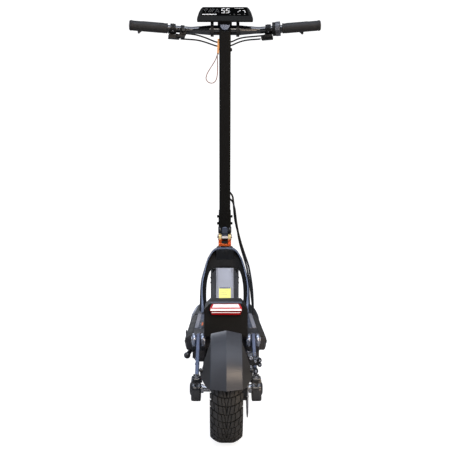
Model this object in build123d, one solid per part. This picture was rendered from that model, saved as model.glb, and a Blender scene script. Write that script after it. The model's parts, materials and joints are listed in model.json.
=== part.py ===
from build123d import *
from math import cos, pi, radians, sin, tan
import os

# Electric kick scooter, in millimetres. +X is the rider's right, +Y is forward and +Z is up.
# The origin is on the ground, midway between the axles.

# --- Driving dimensions ------------------------------------------------------------------------

# Chassis
wheelbase = 950.0
rake = 14.5             # steering axis, degrees back from vertical
axis_trail = 30.0       # steering axis passes this far behind the front axle
clear = 0.3             # gap between soft or curved neighbours on different bodies
running = 0.05          # radial running clearance of shafts in bores

# Wheels and tyres
wheel_r = 127.0
tyre_w = 77.0
tyre_crown = 15.0       # how far the shoulders sit below the crown
tread_flat = 22.0       # flat middle of the tread
rim_r = 78.0
hub_w = 58.0
disc_r = 68.0
disc_t = 2.2
axle_d = 15.0

# Fenders
fender_r = 148.0
fender_w = 74.0
fender_t = 3.0
fender_ridge = 9.0
skirt_w = 116.0
skirt_drop = 40.0

# Rear swing arms
pivot_ahead = 150.0     # pivot ahead of the rear axle
pivot_z = 222.0
pivot_boss_r = 17.0
pivot_pin_d = 12.0
bush_d = 26.0
bracket_t = 10.0
ear_gap_x = 1.0        # running gap between an arm and its ears
arm_in = 67.0           # inner face of an arm
arm_t = 9.5
ear_t = 10.0
pod_in = 61.0           # dropout pod, inner and outer faces
pod_out = 84.5
pod_len = 54.0
pod_h = 57.0

# Front fork and links
leg_in = 41.5
leg_t = 7.5
front_pivot_back = 112.0
front_arm_t = 9.5
crown_t = 20.0
crown_w = 98.0
ear_floor = -30.0       # underside of the hinge's base, along the steering axis

# Deck
deck_rear = 170.0       # ahead of the rear axle
deck_front = 762.0
deck_top = 228.0
deck_bottom = 160.0
deck_w = 220.0
deck_wall = 3.0
lid_t = 4.0
mat_t = 3.0
mat_w = 150.0
mat_from, mat_to = 332.0, 660.0     # ahead of the rear axle
strip_from, strip_to = 336.0, 680.0
strip_w = 11.0
strip_in = 77.0
flange_w = 24.0        # side flanges overhang the tub by this much
flange_z = 191.0
port_d = 18.0
port_z = 208.0
port_ahead = 345.0      # ahead of the rear axle
cap_t = 3.0
stand_ahead = 322.0     # kickstand pivot ahead of the rear axle
stand_z = 170.0

# Kickplate and tail light
kick_top = 319.0
kick_w = 112.0
kick_top_w = 85.0
kick_chamfer_h = 14.0
kick_rear = 121.0       # ahead of the rear axle
kick_front = 283.0
kick_wall = 4.0
lamp_w = 82.0
lamp_h = 27.0
lamp_t = 18.0

# Neck and arch
hinge_z = 483.0
head_od = 52.0
head_id = 42.0
head_len = 68.0
head_drop = 40.0        # head tube top below the hinge pin, along the steering axis
steerer_d = 30.0
web_t = 10.0
web_half = 30.0
ctrl_w = 58.0
ctrl_t = 34.0
ctrl_h = 158.0
ctrl_cover_out = 45.0
ctrl_lean = 33.0
ctrl_behind = 97.0      # middle of the case behind the fold hinge
ctrl_foot = (164.0, 124.0)

# Stem and hinge
stem_w = 38.0
stem_d = 42.0
stem_wall = 3.0
stem_corner = 6.0
stem_top = 718.0
bar_ahead = 5.0         # bar ahead of the stem's middle
tab_low = 623.0
tab_h = 47.0
bar_up = 699.0          # handlebar above the hinge pin, along the steering axis
ear_gap = 23.0
ear_w = 10.5
ear_h = 42.0
ear_r = 13.0
hinge_pin_d = 8.0
foot_h = 75.0
screw_low = 47.0        # lower pair of stem screws above the hinge pin

# Handlebar and controls
bar_w = 616.0
bar_d = 31.8
bar_end_d = 22.2
bar_wall = 2.5
bar_thick_w = 100.0     # thick middle, then a taper each side, then straight to the bend
bar_taper_share = 0.85  # of the run from there to the bend
bar_bend_in = 193.0     # each bend, inward from the bar's end
backsweep = 9.0
upsweep = 2.4
grip_d = 33.0
grip_flange = 0.6
grip_len = 122.0
perch_w = 25.0
perch_left_in = 137.0   # controls, inward from the bar's end
perch_right_in = 166.0
switch_in = 170.0
lever_y = -4.0
lever_pin_d = 6.0
throttle_d = 46.0
throttle_in = 139.0
lever_len = 96.0
lever_t = 12.0

# Display
display_w = 181.0
display_top_w = 151.0
display_len = 82.0
display_t = 16.0
display_edge_t = 5.0    # the underside slopes up to a thin lower edge
display_tilt = 47.0
display_low_y = 612.0   # lower edge ahead of the rear axle
display_low_z = 1180.0
glass_len = 50.0
glass_t = 1.5
clamp_at = 42.0
clamp_w = 10.0

# Cords
hose_d = 5.0
loom_d = 6.5
lanyard_d = 2.6
split_z = 502.0         # harness passes from the stem to the deck's share at this height

# --- Worked-out places ------------------------------------------------------------------------

rear_y = -wheelbase / 2
front_y = wheelbase / 2
pivot_y = rear_y + pivot_ahead
front_pivot_y = front_y - front_pivot_back
port_y = rear_y + port_ahead
bar_bend = bar_w / 2 - bar_bend_in
harness_x = deck_w / 2 - 17.5
arm_out = deck_w / 2 - 26


def axis_y(z):
    """Y of the steering axis at a height."""
    return front_y - axis_trail - (z - wheel_r) * tan(radians(rake))


hinge_y = axis_y(hinge_z)
# Steering frame: +X right, local +Y forward and square to the axis, local +Z up the axis,
# with its origin on the fold hinge's pin.
STEER = Plane(
    origin=(0, hinge_y, hinge_z),
    x_dir=(1, 0, 0),
    z_dir=(0, -sin(radians(rake)), cos(radians(rake))),
)
head_top = -head_drop
head_bottom = head_top - head_len
crown_top = head_bottom - 4.0

# --- Helpers ------------------------------------------------------------------------------------

parts = {}


def keep(name, *shapes):
    """Files one sub-part's solids under its node name."""
    solids = [solid for shape in shapes for solid in shape.solids()]
    parts[name] = solids
    return solids[0] if len(solids) == 1 else Compound(children=solids)


def box(x0, x1, y0, y1, z0, z1, r=0.0, edges=None):
    """Box between two corners, with its edges along one axis rounded."""
    made = Pos((x0 + x1) / 2, (y0 + y1) / 2, (z0 + z1) / 2) * Box(x1 - x0, y1 - y0, z1 - z0)
    return fillet(made.edges().filter_by(edges), r) if edges else made


def rod(d, start, end):
    """Round bar between two points."""
    start, end = Vector(*start), Vector(*end)
    run = end - start
    plane = Plane(origin=(start + end) / 2, z_dir=run)
    return plane * Cylinder(d / 2, run.length)


def tube_x(od, bore, x0, x1, y, z):
    """Ring or tube along X."""
    made = rod(od, (x0, y, z), (x1, y, z))
    return made - rod(bore, (x0 - 1, y, z), (x1 + 1, y, z)) if bore else made


def plate_x(outline, x0, x1):
    """Plate standing in the YZ plane, from an outline of (y, z) points."""
    face = Plane.YZ * make_face(Polyline(*outline, close=True))
    return Pos(x0, 0, 0) * extrude(face, x1 - x0, dir=(1, 0, 0))


def hull_x(circles, x0, x1):
    """Plate standing in the YZ plane that wraps circles given as (y, z, r)."""
    rims = [Edge.make_circle(r, Plane((y, z, 0))) for y, z, r in circles]
    face = Plane.YZ * make_hull(rims)
    return Pos(x0, 0, 0) * extrude(face, x1 - x0, dir=(1, 0, 0))


def flip(shape):
    """The same solid on the other side of the scooter."""
    return mirror(shape, about=Plane.YZ)


def cord_tube(name, d, points):
    """Tube along straight runs joined by the largest tangent arcs that they allow."""
    route = [Vector(*p) for p in points]
    radii = []
    for before, at, after in zip(route, route[1:], route[2:]):
        turn = (at - before).get_angle(after - at)
        radii.append(0.45 * min((at - before).length, (after - at).length) / tan(radians(turn / 2)))
    print(name, "bend radii", [round(r) for r in radii])
    path = FilletPolyline(*points, radius=radii)
    start = Plane(origin=path @ 0, z_dir=path % 0)
    made = sweep(start * Circle(d / 2), path=path)
    print(name, "volume share", round(made.volume / (pi * d * d / 4 * path.length), 4))
    return made


# --- Wheels -------------------------------------------------------------------------------------


def wheel(prefix, y, motor_side):
    """Tyre, hub motor with its rim, and brake disc of one wheel."""
    half = tyre_w / 2
    crown = ThreePointArc(
        (tread_flat / 2, wheel_r), (half * 0.72, wheel_r - tyre_crown * 0.38), (half, wheel_r - tyre_crown)
    )
    side = Polyline(
        (half, wheel_r - tyre_crown), (half - 3, rim_r + 12), (hub_w / 2, rim_r), (0, rim_r),
        (0, wheel_r), (tread_flat / 2, wheel_r),
    )
    spin = Axis((0, 0, 0), (1, 0, 0))
    tyre = revolve(make_face(crown + side), spin)
    tyre = Pos(0, y, wheel_r) * (tyre + flip(tyre))
    keep(prefix + "_tyre", tyre)

    # Hub motor: finned shell under the rim, with a boss each side that runs on the axle.
    shell = Polyline(
        (0, rim_r), (hub_w / 2, rim_r), (hub_w / 2, rim_r - 6), (hub_w / 2 - 7, rim_r - 9),
        (hub_w / 2 - 7, 42), (hub_w / 2 - 2, 38), (hub_w / 2 - 2, 22), (hub_w / 2 + 3, 20),
        (hub_w / 2 + 3, axle_d / 2 + running), (0, axle_d / 2 + running), close=True,
    )
    hub = revolve(make_face(shell), spin)
    hub = hub + flip(hub)
    mount_x = hub_w / 2 - 2
    standoff = disc_at[prefix] - disc_t / 2 - mount_x
    seat = tube_x(56, 44, mount_x, mount_x + standoff, 0, 0)
    side_sign = -motor_side
    hub = hub + (seat if side_sign > 0 else flip(seat))
    keep(prefix + "_hub_motor", Pos(0, y, wheel_r) * hub)

    # Brake disc: slotted rotor ring on six arms, with its bolts through the hub flange.
    rotor = tube_x(2 * disc_r, 2 * disc_r - 30, 0, disc_t, 0, 0) + tube_x(62, 44.4, 0, disc_t, 0, 0)
    for turn in range(6):
        arm = box(0, disc_t, -5, 5, 26, disc_r - 12)
        rotor += Rot(turn * 60, 0, 0) * arm
    for turn in range(18):
        hole = rod(5, (-1, 0, disc_r - 6 if turn % 2 else disc_r - 10), (disc_t + 1, 0, disc_r - 6 if turn % 2 else disc_r - 10))
        rotor -= Rot(turn * 20, 0, 0) * hole
    rotor = Pos(disc_at[prefix] - disc_t / 2, 0, 0) * rotor
    rotor = rotor if side_sign > 0 else flip(rotor)
    keep(prefix + "_disc", Pos(0, y, wheel_r) * rotor)


disc_at = {"rear": 50.5, "front": 46.0}


def fender(name, y, turns, skirt_turns, *stays):
    """Gabled mudguard round a tyre, turned back from the top, with triangular flared skirts."""
    from_turn, to_turn = turns
    skirt_from, skirt_tip, skirt_to = skirt_turns
    half, flare = fender_w / 2, skirt_w / 2
    edge_r, tip_r = fender_r - fender_ridge, fender_r - skirt_drop
    spin = Axis((0, 0, 0), (1, 0, 0))
    band = Polyline(
        (0, fender_r), (half, edge_r), (half, edge_r - fender_t), (0, fender_r - fender_t), close=True
    )
    skirt = Polyline(
        (half, edge_r), (flare, tip_r), (flare - fender_t, tip_r), (half - fender_t, edge_r - fender_t),
        (half - fender_t, edge_r), close=True,
    )
    roof, wing = (
        Rot(90 + from_turn, 0, 0) * revolve(make_face(face), spin, to_turn - from_turn)
        for face in (band, skirt)
    )

    def at(turn, r):
        return (-r * sin(radians(turn)), r * cos(radians(turn)))

    wing &= plate_x(
        [at(skirt_from, edge_r), at(skirt_tip, tip_r - 1), at(skirt_to, edge_r), at(skirt_to, 2 * edge_r),
         at(skirt_tip, 3 * edge_r), at(skirt_from, 2 * edge_r)],
        0, flare + 1,
    )
    half_fender = roof + wing
    whole = Pos(0, y, wheel_r) * (half_fender + flip(half_fender))
    for stay in stays:
        whole += stay
    return keep(name, whole)


# --- Rear suspension ----------------------------------------------------------------------------


def bolt_x(d, head_d, head_t, x0, x1, y, z):
    """Bolt along X with a head at each end."""
    made = rod(d, (x0, y, z), (x1, y, z))
    made += rod(head_d, (x0 - head_t, y, z), (x0, y, z))
    return made + rod(head_d, (x1, y, z), (x1 + head_t, y, z))


def rear_suspension():
    """Pivot brackets on the deck, rubber bushes, two swing arms, axle, brake caliper and mudguard."""
    ear_in = arm_in - ear_gap_x - ear_t
    ear_out = arm_in + arm_t + ear_gap_x
    plate_y = rear_y + deck_rear
    brackets = box(-ear_out - ear_t, ear_out + ear_t, plate_y, plate_y + bracket_t, deck_bottom + 8, deck_top - lid_t)
    for x in (ear_in, ear_out):
        ear = hull_x([(pivot_y, pivot_z, pivot_boss_r), (plate_y + 4, pivot_z - 14, 18)], x, x + ear_t)
        ear -= box(x - 1, x + ear_t + 1, plate_y + bracket_t, plate_y + 60, 0, 400)
        ear -= rod(pivot_pin_d, (x - 1, pivot_y, pivot_z), (x + ear_t + 1, pivot_y, pivot_z))
        brackets += ear + flip(ear)
    pin = bolt_x(pivot_pin_d, 20, 4, ear_in, ear_out + ear_t, pivot_y, pivot_z)
    keep("rear_pivot_brackets", brackets, pin, flip(pin))
    bush = tube_x(bush_d, pivot_pin_d, arm_in - ear_gap_x, ear_out, pivot_y, pivot_z)
    keep("rear_pivot_bushes", bush, flip(bush))

    arm = hull_x([(pivot_y, pivot_z, pivot_boss_r), (rear_y + 16, wheel_r + 12, 13)], arm_in, arm_in + arm_t)
    pod = box(pod_in, pod_out, rear_y - pod_len / 2, rear_y + pod_len / 2, wheel_r - pod_h / 2, wheel_r + pod_h / 2, 13, Axis.X)
    arm = arm + pod
    arm -= rod(bush_d + 2 * running, (0, pivot_y, pivot_z), (100, pivot_y, pivot_z))
    arm -= rod(axle_d, (0, rear_y, wheel_r), (100, rear_y, wheel_r))
    keep("rear_arm_right", arm)
    keep("rear_arm_left", flip(arm))
    axle = rod(axle_d, (-pod_out, rear_y, wheel_r), (pod_out, rear_y, wheel_r))
    for side in (-1, 1):
        axle += rod(30, (side * pod_out, rear_y, wheel_r), (side * (pod_out + 3.5), rear_y, wheel_r))
    keep("rear_axle", axle)

    # Two-piston caliper over the disc, bolted to the inside of the right arm.
    disc = disc_at["rear"]
    body = box(disc - 10, arm_in, rear_y + 8, rear_y + 52, wheel_r + 40, wheel_r + 84, 8, Axis.X)
    body -= box(disc - 2, disc + 2, rear_y, rear_y + 60, 0, wheel_r + disc_r + 4)
    lobe = box(arm_in - 6, 88, rear_y + 12, rear_y + 44, wheel_r + 52, wheel_r + 72, 7, Axis.X)
    for up in (55, 66):
        lobe += rod(9, (82, rear_y + 6, wheel_r + up), (82, rear_y + 20, wheel_r + up))
    keep("rear_caliper", body + lobe)

    stays = []
    for side in (-1, 1):
        stay = hull_x([(rear_y - 12, wheel_r + 22, 6), (rear_y - 93, wheel_r + 62, 6)], pod_in - 3.5, pod_in)
        stay += rod(12, (skirt_w / 2 - 5, rear_y - 93, wheel_r + 62), (pod_in, rear_y - 93, wheel_r + 62))
        stays.append(stay if side > 0 else flip(stay))
    fender("rear_fender", rear_y, (12, 80.5), (29, 61, 80.5), *stays)


# --- Front fork and links -----------------------------------------------------------------------


def front_suspension():
    """Steerer with its crown, two legs, leading arms, axle, caliper and mudguard."""
    steerer = Pos(0, 0, (ear_floor + crown_top) / 2) * Cylinder(steerer_d / 2, ear_floor - crown_top)
    crown = Pos(0, 0, crown_top - crown_t / 2) * fillet(Box(crown_w, 50, crown_t).edges().filter_by(Axis.Z), 10)
    keep("fork_steerer", STEER * (steerer + crown))

    foot = STEER.from_local_coords(Vector(0, 0, crown_top - crown_t))
    leg = hull_x([(foot.Y - 8, foot.Z - 8, 14), (foot.Y + 12, foot.Z - 12, 10), (front_pivot_y + 12, pivot_z + 30, 13)], leg_in, leg_in + leg_t)
    leg += hull_x([(front_pivot_y + 12, pivot_z + 30, 13), (front_pivot_y, pivot_z, pivot_boss_r)], leg_in, leg_in + leg_t)
    under = STEER * (Pos(0, 0, crown_top - crown_t + 60) * Box(200, 300, 120))
    leg -= under
    leg -= rod(pivot_pin_d, (0, front_pivot_y, pivot_z), (99, front_pivot_y, pivot_z))

    arm_x = leg_in + leg_t + 1
    link = hull_x([(front_pivot_y, pivot_z, pivot_boss_r), (front_y, wheel_r, 20)], arm_x, arm_x + front_arm_t)
    link -= rod(bush_d + 2 * running, (0, front_pivot_y, pivot_z), (99, front_pivot_y, pivot_z))
    link -= rod(axle_d, (0, front_y, wheel_r), (99, front_y, wheel_r))
    keep("front_arms", link, flip(link))
    bolt = bolt_x(pivot_pin_d, 20, 3, leg_in, arm_x + front_arm_t + 1, front_pivot_y, pivot_z)
    bolt -= box(0, leg_in, front_pivot_y - 20, front_pivot_y + 20, 0, 400)
    bush = tube_x(bush_d, pivot_pin_d, arm_x - 1, arm_x + front_arm_t + 1, front_pivot_y, pivot_z)
    keep("fork_legs", leg, flip(leg), bolt, flip(bolt))
    keep("front_pivot_bushes", bush, flip(bush))

    axle = rod(axle_d, (-arm_x - front_arm_t, front_y, wheel_r), (arm_x + front_arm_t, front_y, wheel_r))
    for side in (-1, 1):
        end = side * (arm_x + front_arm_t)
        axle += rod(28, (end, front_y, wheel_r), (end + side * 4, front_y, wheel_r))
    keep("front_axle", axle)

    disc = disc_at["front"]
    body = box(disc - 5, arm_x, front_y - 66, front_y - 30, wheel_r + 22, wheel_r + 82, 7, Axis.X)
    body -= box(disc - 2, disc + 2, front_y - 80, front_y - 20, 0, wheel_r + disc_r + 4)
    keep("front_caliper", flip(body))

    stays = []
    for side in (-1, 1):
        stay = hull_x([(front_y + 8, wheel_r + 24, 8), (front_y + 60, wheel_r + 112, 6)], arm_x - 2.6, arm_x)
        stays.append(stay if side > 0 else flip(stay))
    fender("front_fender", front_y, (-70, 8), (-70, -45, -14), *stays)


# --- Deck ---------------------------------------------------------------------------------------


def deck():
    """Battery tub with side flanges, lid, grip mat and strips, battery, kickplate and tail light."""
    y0, y1 = rear_y + deck_rear + bracket_t, rear_y + deck_front
    half, low = deck_w / 2, deck_w / 2 - flange_w
    tub_top = deck_top - lid_t
    side = Polyline(
        (0, deck_bottom), (low - 8, deck_bottom), (low, deck_bottom + 10), (low, flange_z),
        (half - 9, flange_z), (half - 2, flange_z + 6), (half, flange_z + 14), (half, tub_top - 8), (half - 4, tub_top),
        (0, tub_top),
        close=True,
    )
    face = Plane((0, y0, 0), x_dir=(1, 0, 0), z_dir=(0, -1, 0)) * make_face(side)
    tub = extrude(face, y1 - y0, dir=(0, 1, 0))
    tub += flip(tub)
    # The plan narrows to the rear and the front corners are cut for the steered wheel.
    for side_sign in (-1, 1):
        rear_cut = Pos(side_sign * (half + 14), y0, 200) * Rot(0, 0, side_sign * -9) * Box(40, 140, 120)
        front_cut = Pos(side_sign * (half + 26), y1, 200) * Rot(0, 0, side_sign * 30) * Box(60, 160, 120)
        tub = tub - rear_cut - front_cut
    cavity = box(-low + deck_wall, low - deck_wall, y0 + 8, y1 - 12, deck_bottom + deck_wall, tub_top + 1, 8, Axis.Z)
    port = rod(port_d, (-half - 1, port_y, port_z), (-low + deck_wall - 4, port_y, port_z))
    keep("deck_tub", tub - cavity - port)
    lid_w = 2 * (low + 10)
    keep("deck_lid", box(-lid_w / 2, lid_w / 2, y0 + 2, y1 - 44, tub_top, deck_top, 10, Axis.Z))
    keep("battery_pack", box(-low + 12, low - 12, y0 + 30, y1 - 150, deck_bottom + deck_wall, tub_top - 12, 6, Axis.Z))

    mat_y0, mat_y1 = rear_y + mat_from, rear_y + mat_to
    mat = box(-mat_w / 2, mat_w / 2, mat_y0, mat_y1, deck_top, deck_top + mat_t, 14, Axis.Z)
    strips = []
    for side_sign in (-1, 1):
        x = side_sign * (strip_in + strip_w / 2)
        strip = box(x - strip_w / 2, x + strip_w / 2, rear_y + strip_from, rear_y + strip_to, deck_top, deck_top + 2, 3, Axis.Z)
        strips.append(strip)
    keep("grip_mat", mat, *strips)

    # Charge port in the left flange, with its flap.
    socket = tube_x(port_d, 8, -half + 2, -low + deck_wall - 4, port_y, port_z)
    keep("charge_port", socket)
    flap = box(-half - cap_t - clear, -half - clear, port_y - 11, port_y + 11, port_z - 9, port_z + 11, 3, Axis.X)
    barrel_x, barrel_z = -half - clear - cap_t / 2, port_z + 11
    barrel = rod(cap_t, (barrel_x, port_y - 11, barrel_z), (barrel_x, port_y + 11, barrel_z))
    keep("charge_cap", flap + barrel)

    # Kickplate: hollow sloped box with chamfered top edges.
    k0, k1 = rear_y + kick_rear, rear_y + kick_front
    half, top = kick_w / 2, kick_top_w / 2

    def shell(inset):
        """Kickplate body, or its cavity when inset by the wall."""
        front = Polyline(
            (-half + inset, deck_top), (-half + inset, kick_top - kick_chamfer_h), (-top + inset / 2, kick_top - inset),
            (top - inset / 2, kick_top - inset), (half - inset, kick_top - kick_chamfer_h),
            (half - inset, deck_top), close=True,
        )
        plane = Plane((0, 0, 0), x_dir=(1, 0, 0), z_dir=(0, -1, 0))
        made = Pos(0, k0 - 10, 0) * extrude(plane * make_face(front), 400, dir=(0, 1, 0))
        return made & plate_x(
            [(k0 + inset, deck_top - inset), (k0 + inset, kick_top - inset), (k1 - inset, kick_top - inset),
             (k1 + 46 - inset, deck_top - inset)], -half, half,
        )

    kick = shell(0) - shell(kick_wall)
    kick -= box(-half - 1, half + 1, k0 - 1, rear_y + deck_rear + bracket_t + 8, deck_top - 1, deck_top + 8)
    keep("kickplate", kick)
    lamp_z = kick_top - lamp_h / 2
    lamp = Polyline(
        (-lamp_w / 2, lamp_z), (-kick_top_w / 2 + 8, kick_top - 0.5), (kick_top_w / 2 - 8, kick_top - 0.5),
        (lamp_w / 2, lamp_z), (kick_top_w / 2 - 6, kick_top - lamp_h), (-kick_top_w / 2 + 6, kick_top - lamp_h),
        close=True,
    )
    plane = Plane((0, k0 - lamp_t, 0), x_dir=(1, 0, 0), z_dir=(0, -1, 0))
    body = extrude(plane * make_face(lamp), lamp_t, dir=(0, 1, 0))
    keep("tail_light", body)


def kickstand():
    """Left-hand stand: bracket under the flange and a leg with a round foot, stowed rearward."""
    x, low = -deck_w / 2 + 13, deck_w / 2 - flange_w
    y, z = rear_y + stand_ahead, stand_z
    bracket = box(x - 9, -low, y - 14, y + 14, z + 8.6, flange_z, 3, Axis.Z)
    bracket += box(x + 7, -low, y - 14, y + 14, z - 14, flange_z, 1.5, Axis.Z)
    pin = rod(8, (x + 7, y, z), (x - 7, y, z))
    keep("kickstand_bracket", bracket + pin)
    foot = Vector(x - 4, rear_y + 150, z + 12)
    leg = rod(16, (x - 6, y, z), (x + 6.7, y, z)) + rod(12, (x, y - 2, z), foot)
    leg -= rod(8 + 2 * running, (x - 20, y, z), (x + 20, y, z))
    leg += Pos(foot) * Sphere(8.7)
    keep("kickstand_leg", leg)


# --- Neck, arch and controller ------------------------------------------------------------------


def neck():
    """Head tube with its web, two arch arms down to the deck, bearings and the controller box."""
    middle = head_top - head_len / 2
    tube = Pos(0, 0, middle) * Cylinder(head_od / 2, head_len)
    web = Pos(0, -head_od / 2 + web_t / 2 - 2, middle) * Box(2 * web_half, web_t, head_len - 2)
    collar = Pos(0, 0, head_top - 5) * Cylinder(head_od / 2 + 3, 10)
    bore = Pos(0, 0, middle) * Cylinder(head_id / 2, head_len + 4)
    bosses = [Pos(side * (web_half - 6), -6, middle) * Box(12, 26, head_len - 6) for side in (-1, 1)]
    keep("neck", STEER * (tube + web + collar + bosses[0] + bosses[1] - bore))
    bearings = []
    for w in (head_top - 6, head_bottom + 6):
        ring = Pos(0, 0, w) * (Cylinder(head_id / 2, 12) - Cylinder(steerer_d / 2 + running, 14))
        bearings.append(STEER * ring)
    keep("headset_bearings", *bearings)

    # Each arm is its front outline cut to its slanted side outline.
    z_top = hinge_z + head_top * cos(radians(rake))

    def rise(share):
        """Height at a share of the way from the deck to the hinge."""
        return deck_top + share * (hinge_z - deck_top)

    outline = Polyline(
        (web_half, z_top - 6), (web_half + 14.5, z_top - 12), (60, rise(0.702)), (71, rise(0.565)), (arm_out - 4, rise(0.439)),
        (arm_out, rise(0.282)), (arm_out, rise(0.133)), (arm_out + 14, deck_top), (66, deck_top), (61, rise(0.114)), (61, rise(0.29)),
        (57, rise(0.404)), (48, rise(0.514)), (web_half, rise(0.576)), close=True,
    )
    face = Plane((0, 0, 0), x_dir=(1, 0, 0), z_dir=(0, -1, 0)) * make_face(outline)
    front = extrude(face, 1000, dir=(0, 1, 0))
    side = plate_x(
        [(hinge_y - back, rise(share)) for back, share in (
            (-25, 0.855), (-34, 0.675), (-10, 0.616), (25, 0.518), (42, 0.4), (78, 0.224), (86, 0.114), (72, 0),
            (144, 0), (128, 0.133), (106, 0.224), (60, 0.459), (28, 0.675), (10, 0.855),
        )], 0, 200,
    )
    arm = front & side
    keep("arch_arm_right", arm)
    keep("arch_arm_left", flip(arm))

    # Controller box between the arms, leaning with them.
    lean = Plane((0, hinge_y - ctrl_behind, rise(0.3137)), x_dir=(1, 0, 0), z_dir=(0, sin(radians(ctrl_lean)), cos(radians(ctrl_lean))))
    case = fillet(Box(ctrl_w, ctrl_t, ctrl_h).edges().filter_by(Axis.Z), 4)
    cover = Pos((ctrl_w / 2 + ctrl_cover_out) / 2, 0, 0) * Box(ctrl_cover_out - ctrl_w / 2, ctrl_t + 4, ctrl_h)
    cover = chamfer(cover.edges().filter_by(Axis.Y).sort_by(Axis.X)[-2:], 13)
    foot = box(-ctrl_cover_out + 4, ctrl_cover_out - 4, hinge_y - ctrl_foot[0], hinge_y - ctrl_foot[1],
               deck_top, deck_top + 8)
    foot -= lean * Box(2 * ctrl_cover_out, ctrl_t + 4, ctrl_h)
    keep("controller", lean * case, lean * cover, lean * flip(cover), foot)


# --- Stem, hinge and handlebar ------------------------------------------------------------------


def hinge():
    """Orange hinge base on the steerer, its pin, the stem foot that turns on it, and the latch."""
    out = ear_gap / 2 + ear_w
    base = Pos(0, 0, ear_floor + 4) * Box(2 * out, ear_h, 8)
    for side in (-1, 1):
        x = side * (ear_gap / 2 + ear_w / 2)
        ear = Pos(x, 0, (ear_floor) / 2) * Box(ear_w, 2 * ear_r, -ear_floor)
        ear += Pos(x, 0, 0) * Rot(0, 90, 0) * Cylinder(ear_r, ear_w)
        base += ear
    base += Pos(0, ear_h / 2 + 4, ear_floor + 10) * Box(ear_gap, 16, 20)
    pin_hole = Rot(0, 90, 0) * Cylinder(hinge_pin_d / 2, 100)
    latch_y, latch_z = ear_h / 2 + 6, ear_floor + 12
    latch_hole = Pos(0, latch_y, latch_z) * Rot(0, 90, 0) * Cylinder(3 + running, 100)
    keep("hinge_base", STEER * (base - pin_hole - latch_hole))
    pin = Rot(0, 90, 0) * Cylinder(hinge_pin_d / 2, 2 * out)
    for side in (-1, 1):
        pin += Pos(side * (out + 2), 0, 0) * Rot(0, 90, 0) * Cylinder(6.5, 4)
    keep("hinge_pin", STEER * pin)

    tongue_w = ear_gap - 1.0
    tongue = Rot(0, 90, 0) * Cylinder(11.5, tongue_w) + Pos(0, 0, 13) * Box(tongue_w, 23, 26)
    foot = Pos(0, 0, ear_r + 3 + foot_h / 2) * fillet(
        Box(stem_w + 4, stem_d + 2, foot_h).edges().filter_by(Axis.Z), stem_corner
    )
    plug = Pos(0, 0, ear_r + 3 + foot_h + 15) * Box(stem_w - 2 * stem_wall, stem_d - 2 * stem_wall, 30)
    tongue_hole = Rot(0, 90, 0) * Cylinder(hinge_pin_d / 2 + running, 100)
    screws = [STEER * (tongue + foot + plug - tongue_hole)]
    for w in (screw_low, screw_low + 25):
        for side in (-1, 1):
            screw = Pos(side * (stem_w / 2 + 5), 0, w) * Rot(0, 90, 0) * Cylinder(4.5, 6)
            screws.append(STEER * screw)
    keep("stem_foot", *screws)

    latch = Pos(0, latch_y, latch_z) * Rot(0, 90, 0) * Cylinder(7, 2 * out)
    latch -= Pos(0, ear_h / 2 + 4, ear_floor + 10) * Box(ear_gap + 2 * clear, 22, 40)
    latch += Pos(0, latch_y + 8, latch_z + 40) * Box(2 * out, 7, 84)
    latch -= Pos(0, 0, latch_z) * Box(ear_gap + 2 * clear, 2 * (latch_y + 12.5), 24)
    latch_pin = Pos(0, latch_y, latch_z) * Rot(0, 90, 0) * Cylinder(3, 2 * out + 3)
    keep("latch_lever", STEER * (latch + latch_pin))


def stem():
    """Square stem tube with a slanted head, the bar through it, a headlight and the lanyard tab."""
    foot_top = ear_r + 3 + foot_h
    outer = Pos(0, 0, (foot_top + stem_top) / 2) * fillet(
        Box(stem_w, stem_d, stem_top - foot_top).edges().filter_by(Axis.Z), stem_corner
    )
    inner = Pos(0, 0, (foot_top + bar_up - 24) / 2) * Box(
        stem_w - 2 * stem_wall, stem_d - 2 * stem_wall, bar_up - 24 - foot_top
    )
    slant = plate_x([(-stem_d, bar_up - 8), (-stem_d / 2, bar_up - 4), (-4, stem_top), (-4, stem_top + 20), (-stem_d, stem_top + 20)], -40, 40)
    bar_hole = Pos(0, bar_ahead, bar_up) * Rot(0, 90, 0) * Cylinder(bar_d / 2, 100)
    keep("stem_tube", STEER * (outer - inner - slant - bar_hole))
    lamp = Pos(0, stem_d / 2 + 14, bar_up - 60) * fillet(Box(34, 28, 40).edges().filter_by(Axis.Y), 8)
    keep("headlight", STEER * lamp)
    tab = Pos(-stem_w / 2 - 2, -8, tab_low + tab_h / 2) * Box(4, 12, tab_h)
    tab = fillet(tab.edges().filter_by(Axis.X), 3)
    keep("lanyard_tab", STEER * tab)


bar_centre = STEER.from_local_coords(Vector(0, bar_ahead, bar_up))
sweep_dir = Vector(cos(radians(backsweep)), -sin(radians(backsweep)), tan(radians(upsweep)))
BAR = Plane(
    origin=bar_centre + Vector(bar_bend, 0, 0),
    x_dir=(sin(radians(backsweep)), cos(radians(backsweep)), 0),
    z_dir=sweep_dir,
)


def along(x):
    """Distance out along the swept part of the bar at a distance from the middle."""
    return (x - bar_bend) / cos(radians(backsweep))


def on_bar(shape, side):
    """Places a shape made on the right-hand bar, with local X forward, Y up and Z outward."""
    placed = BAR * shape
    return placed if side > 0 else flip(placed)


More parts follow.
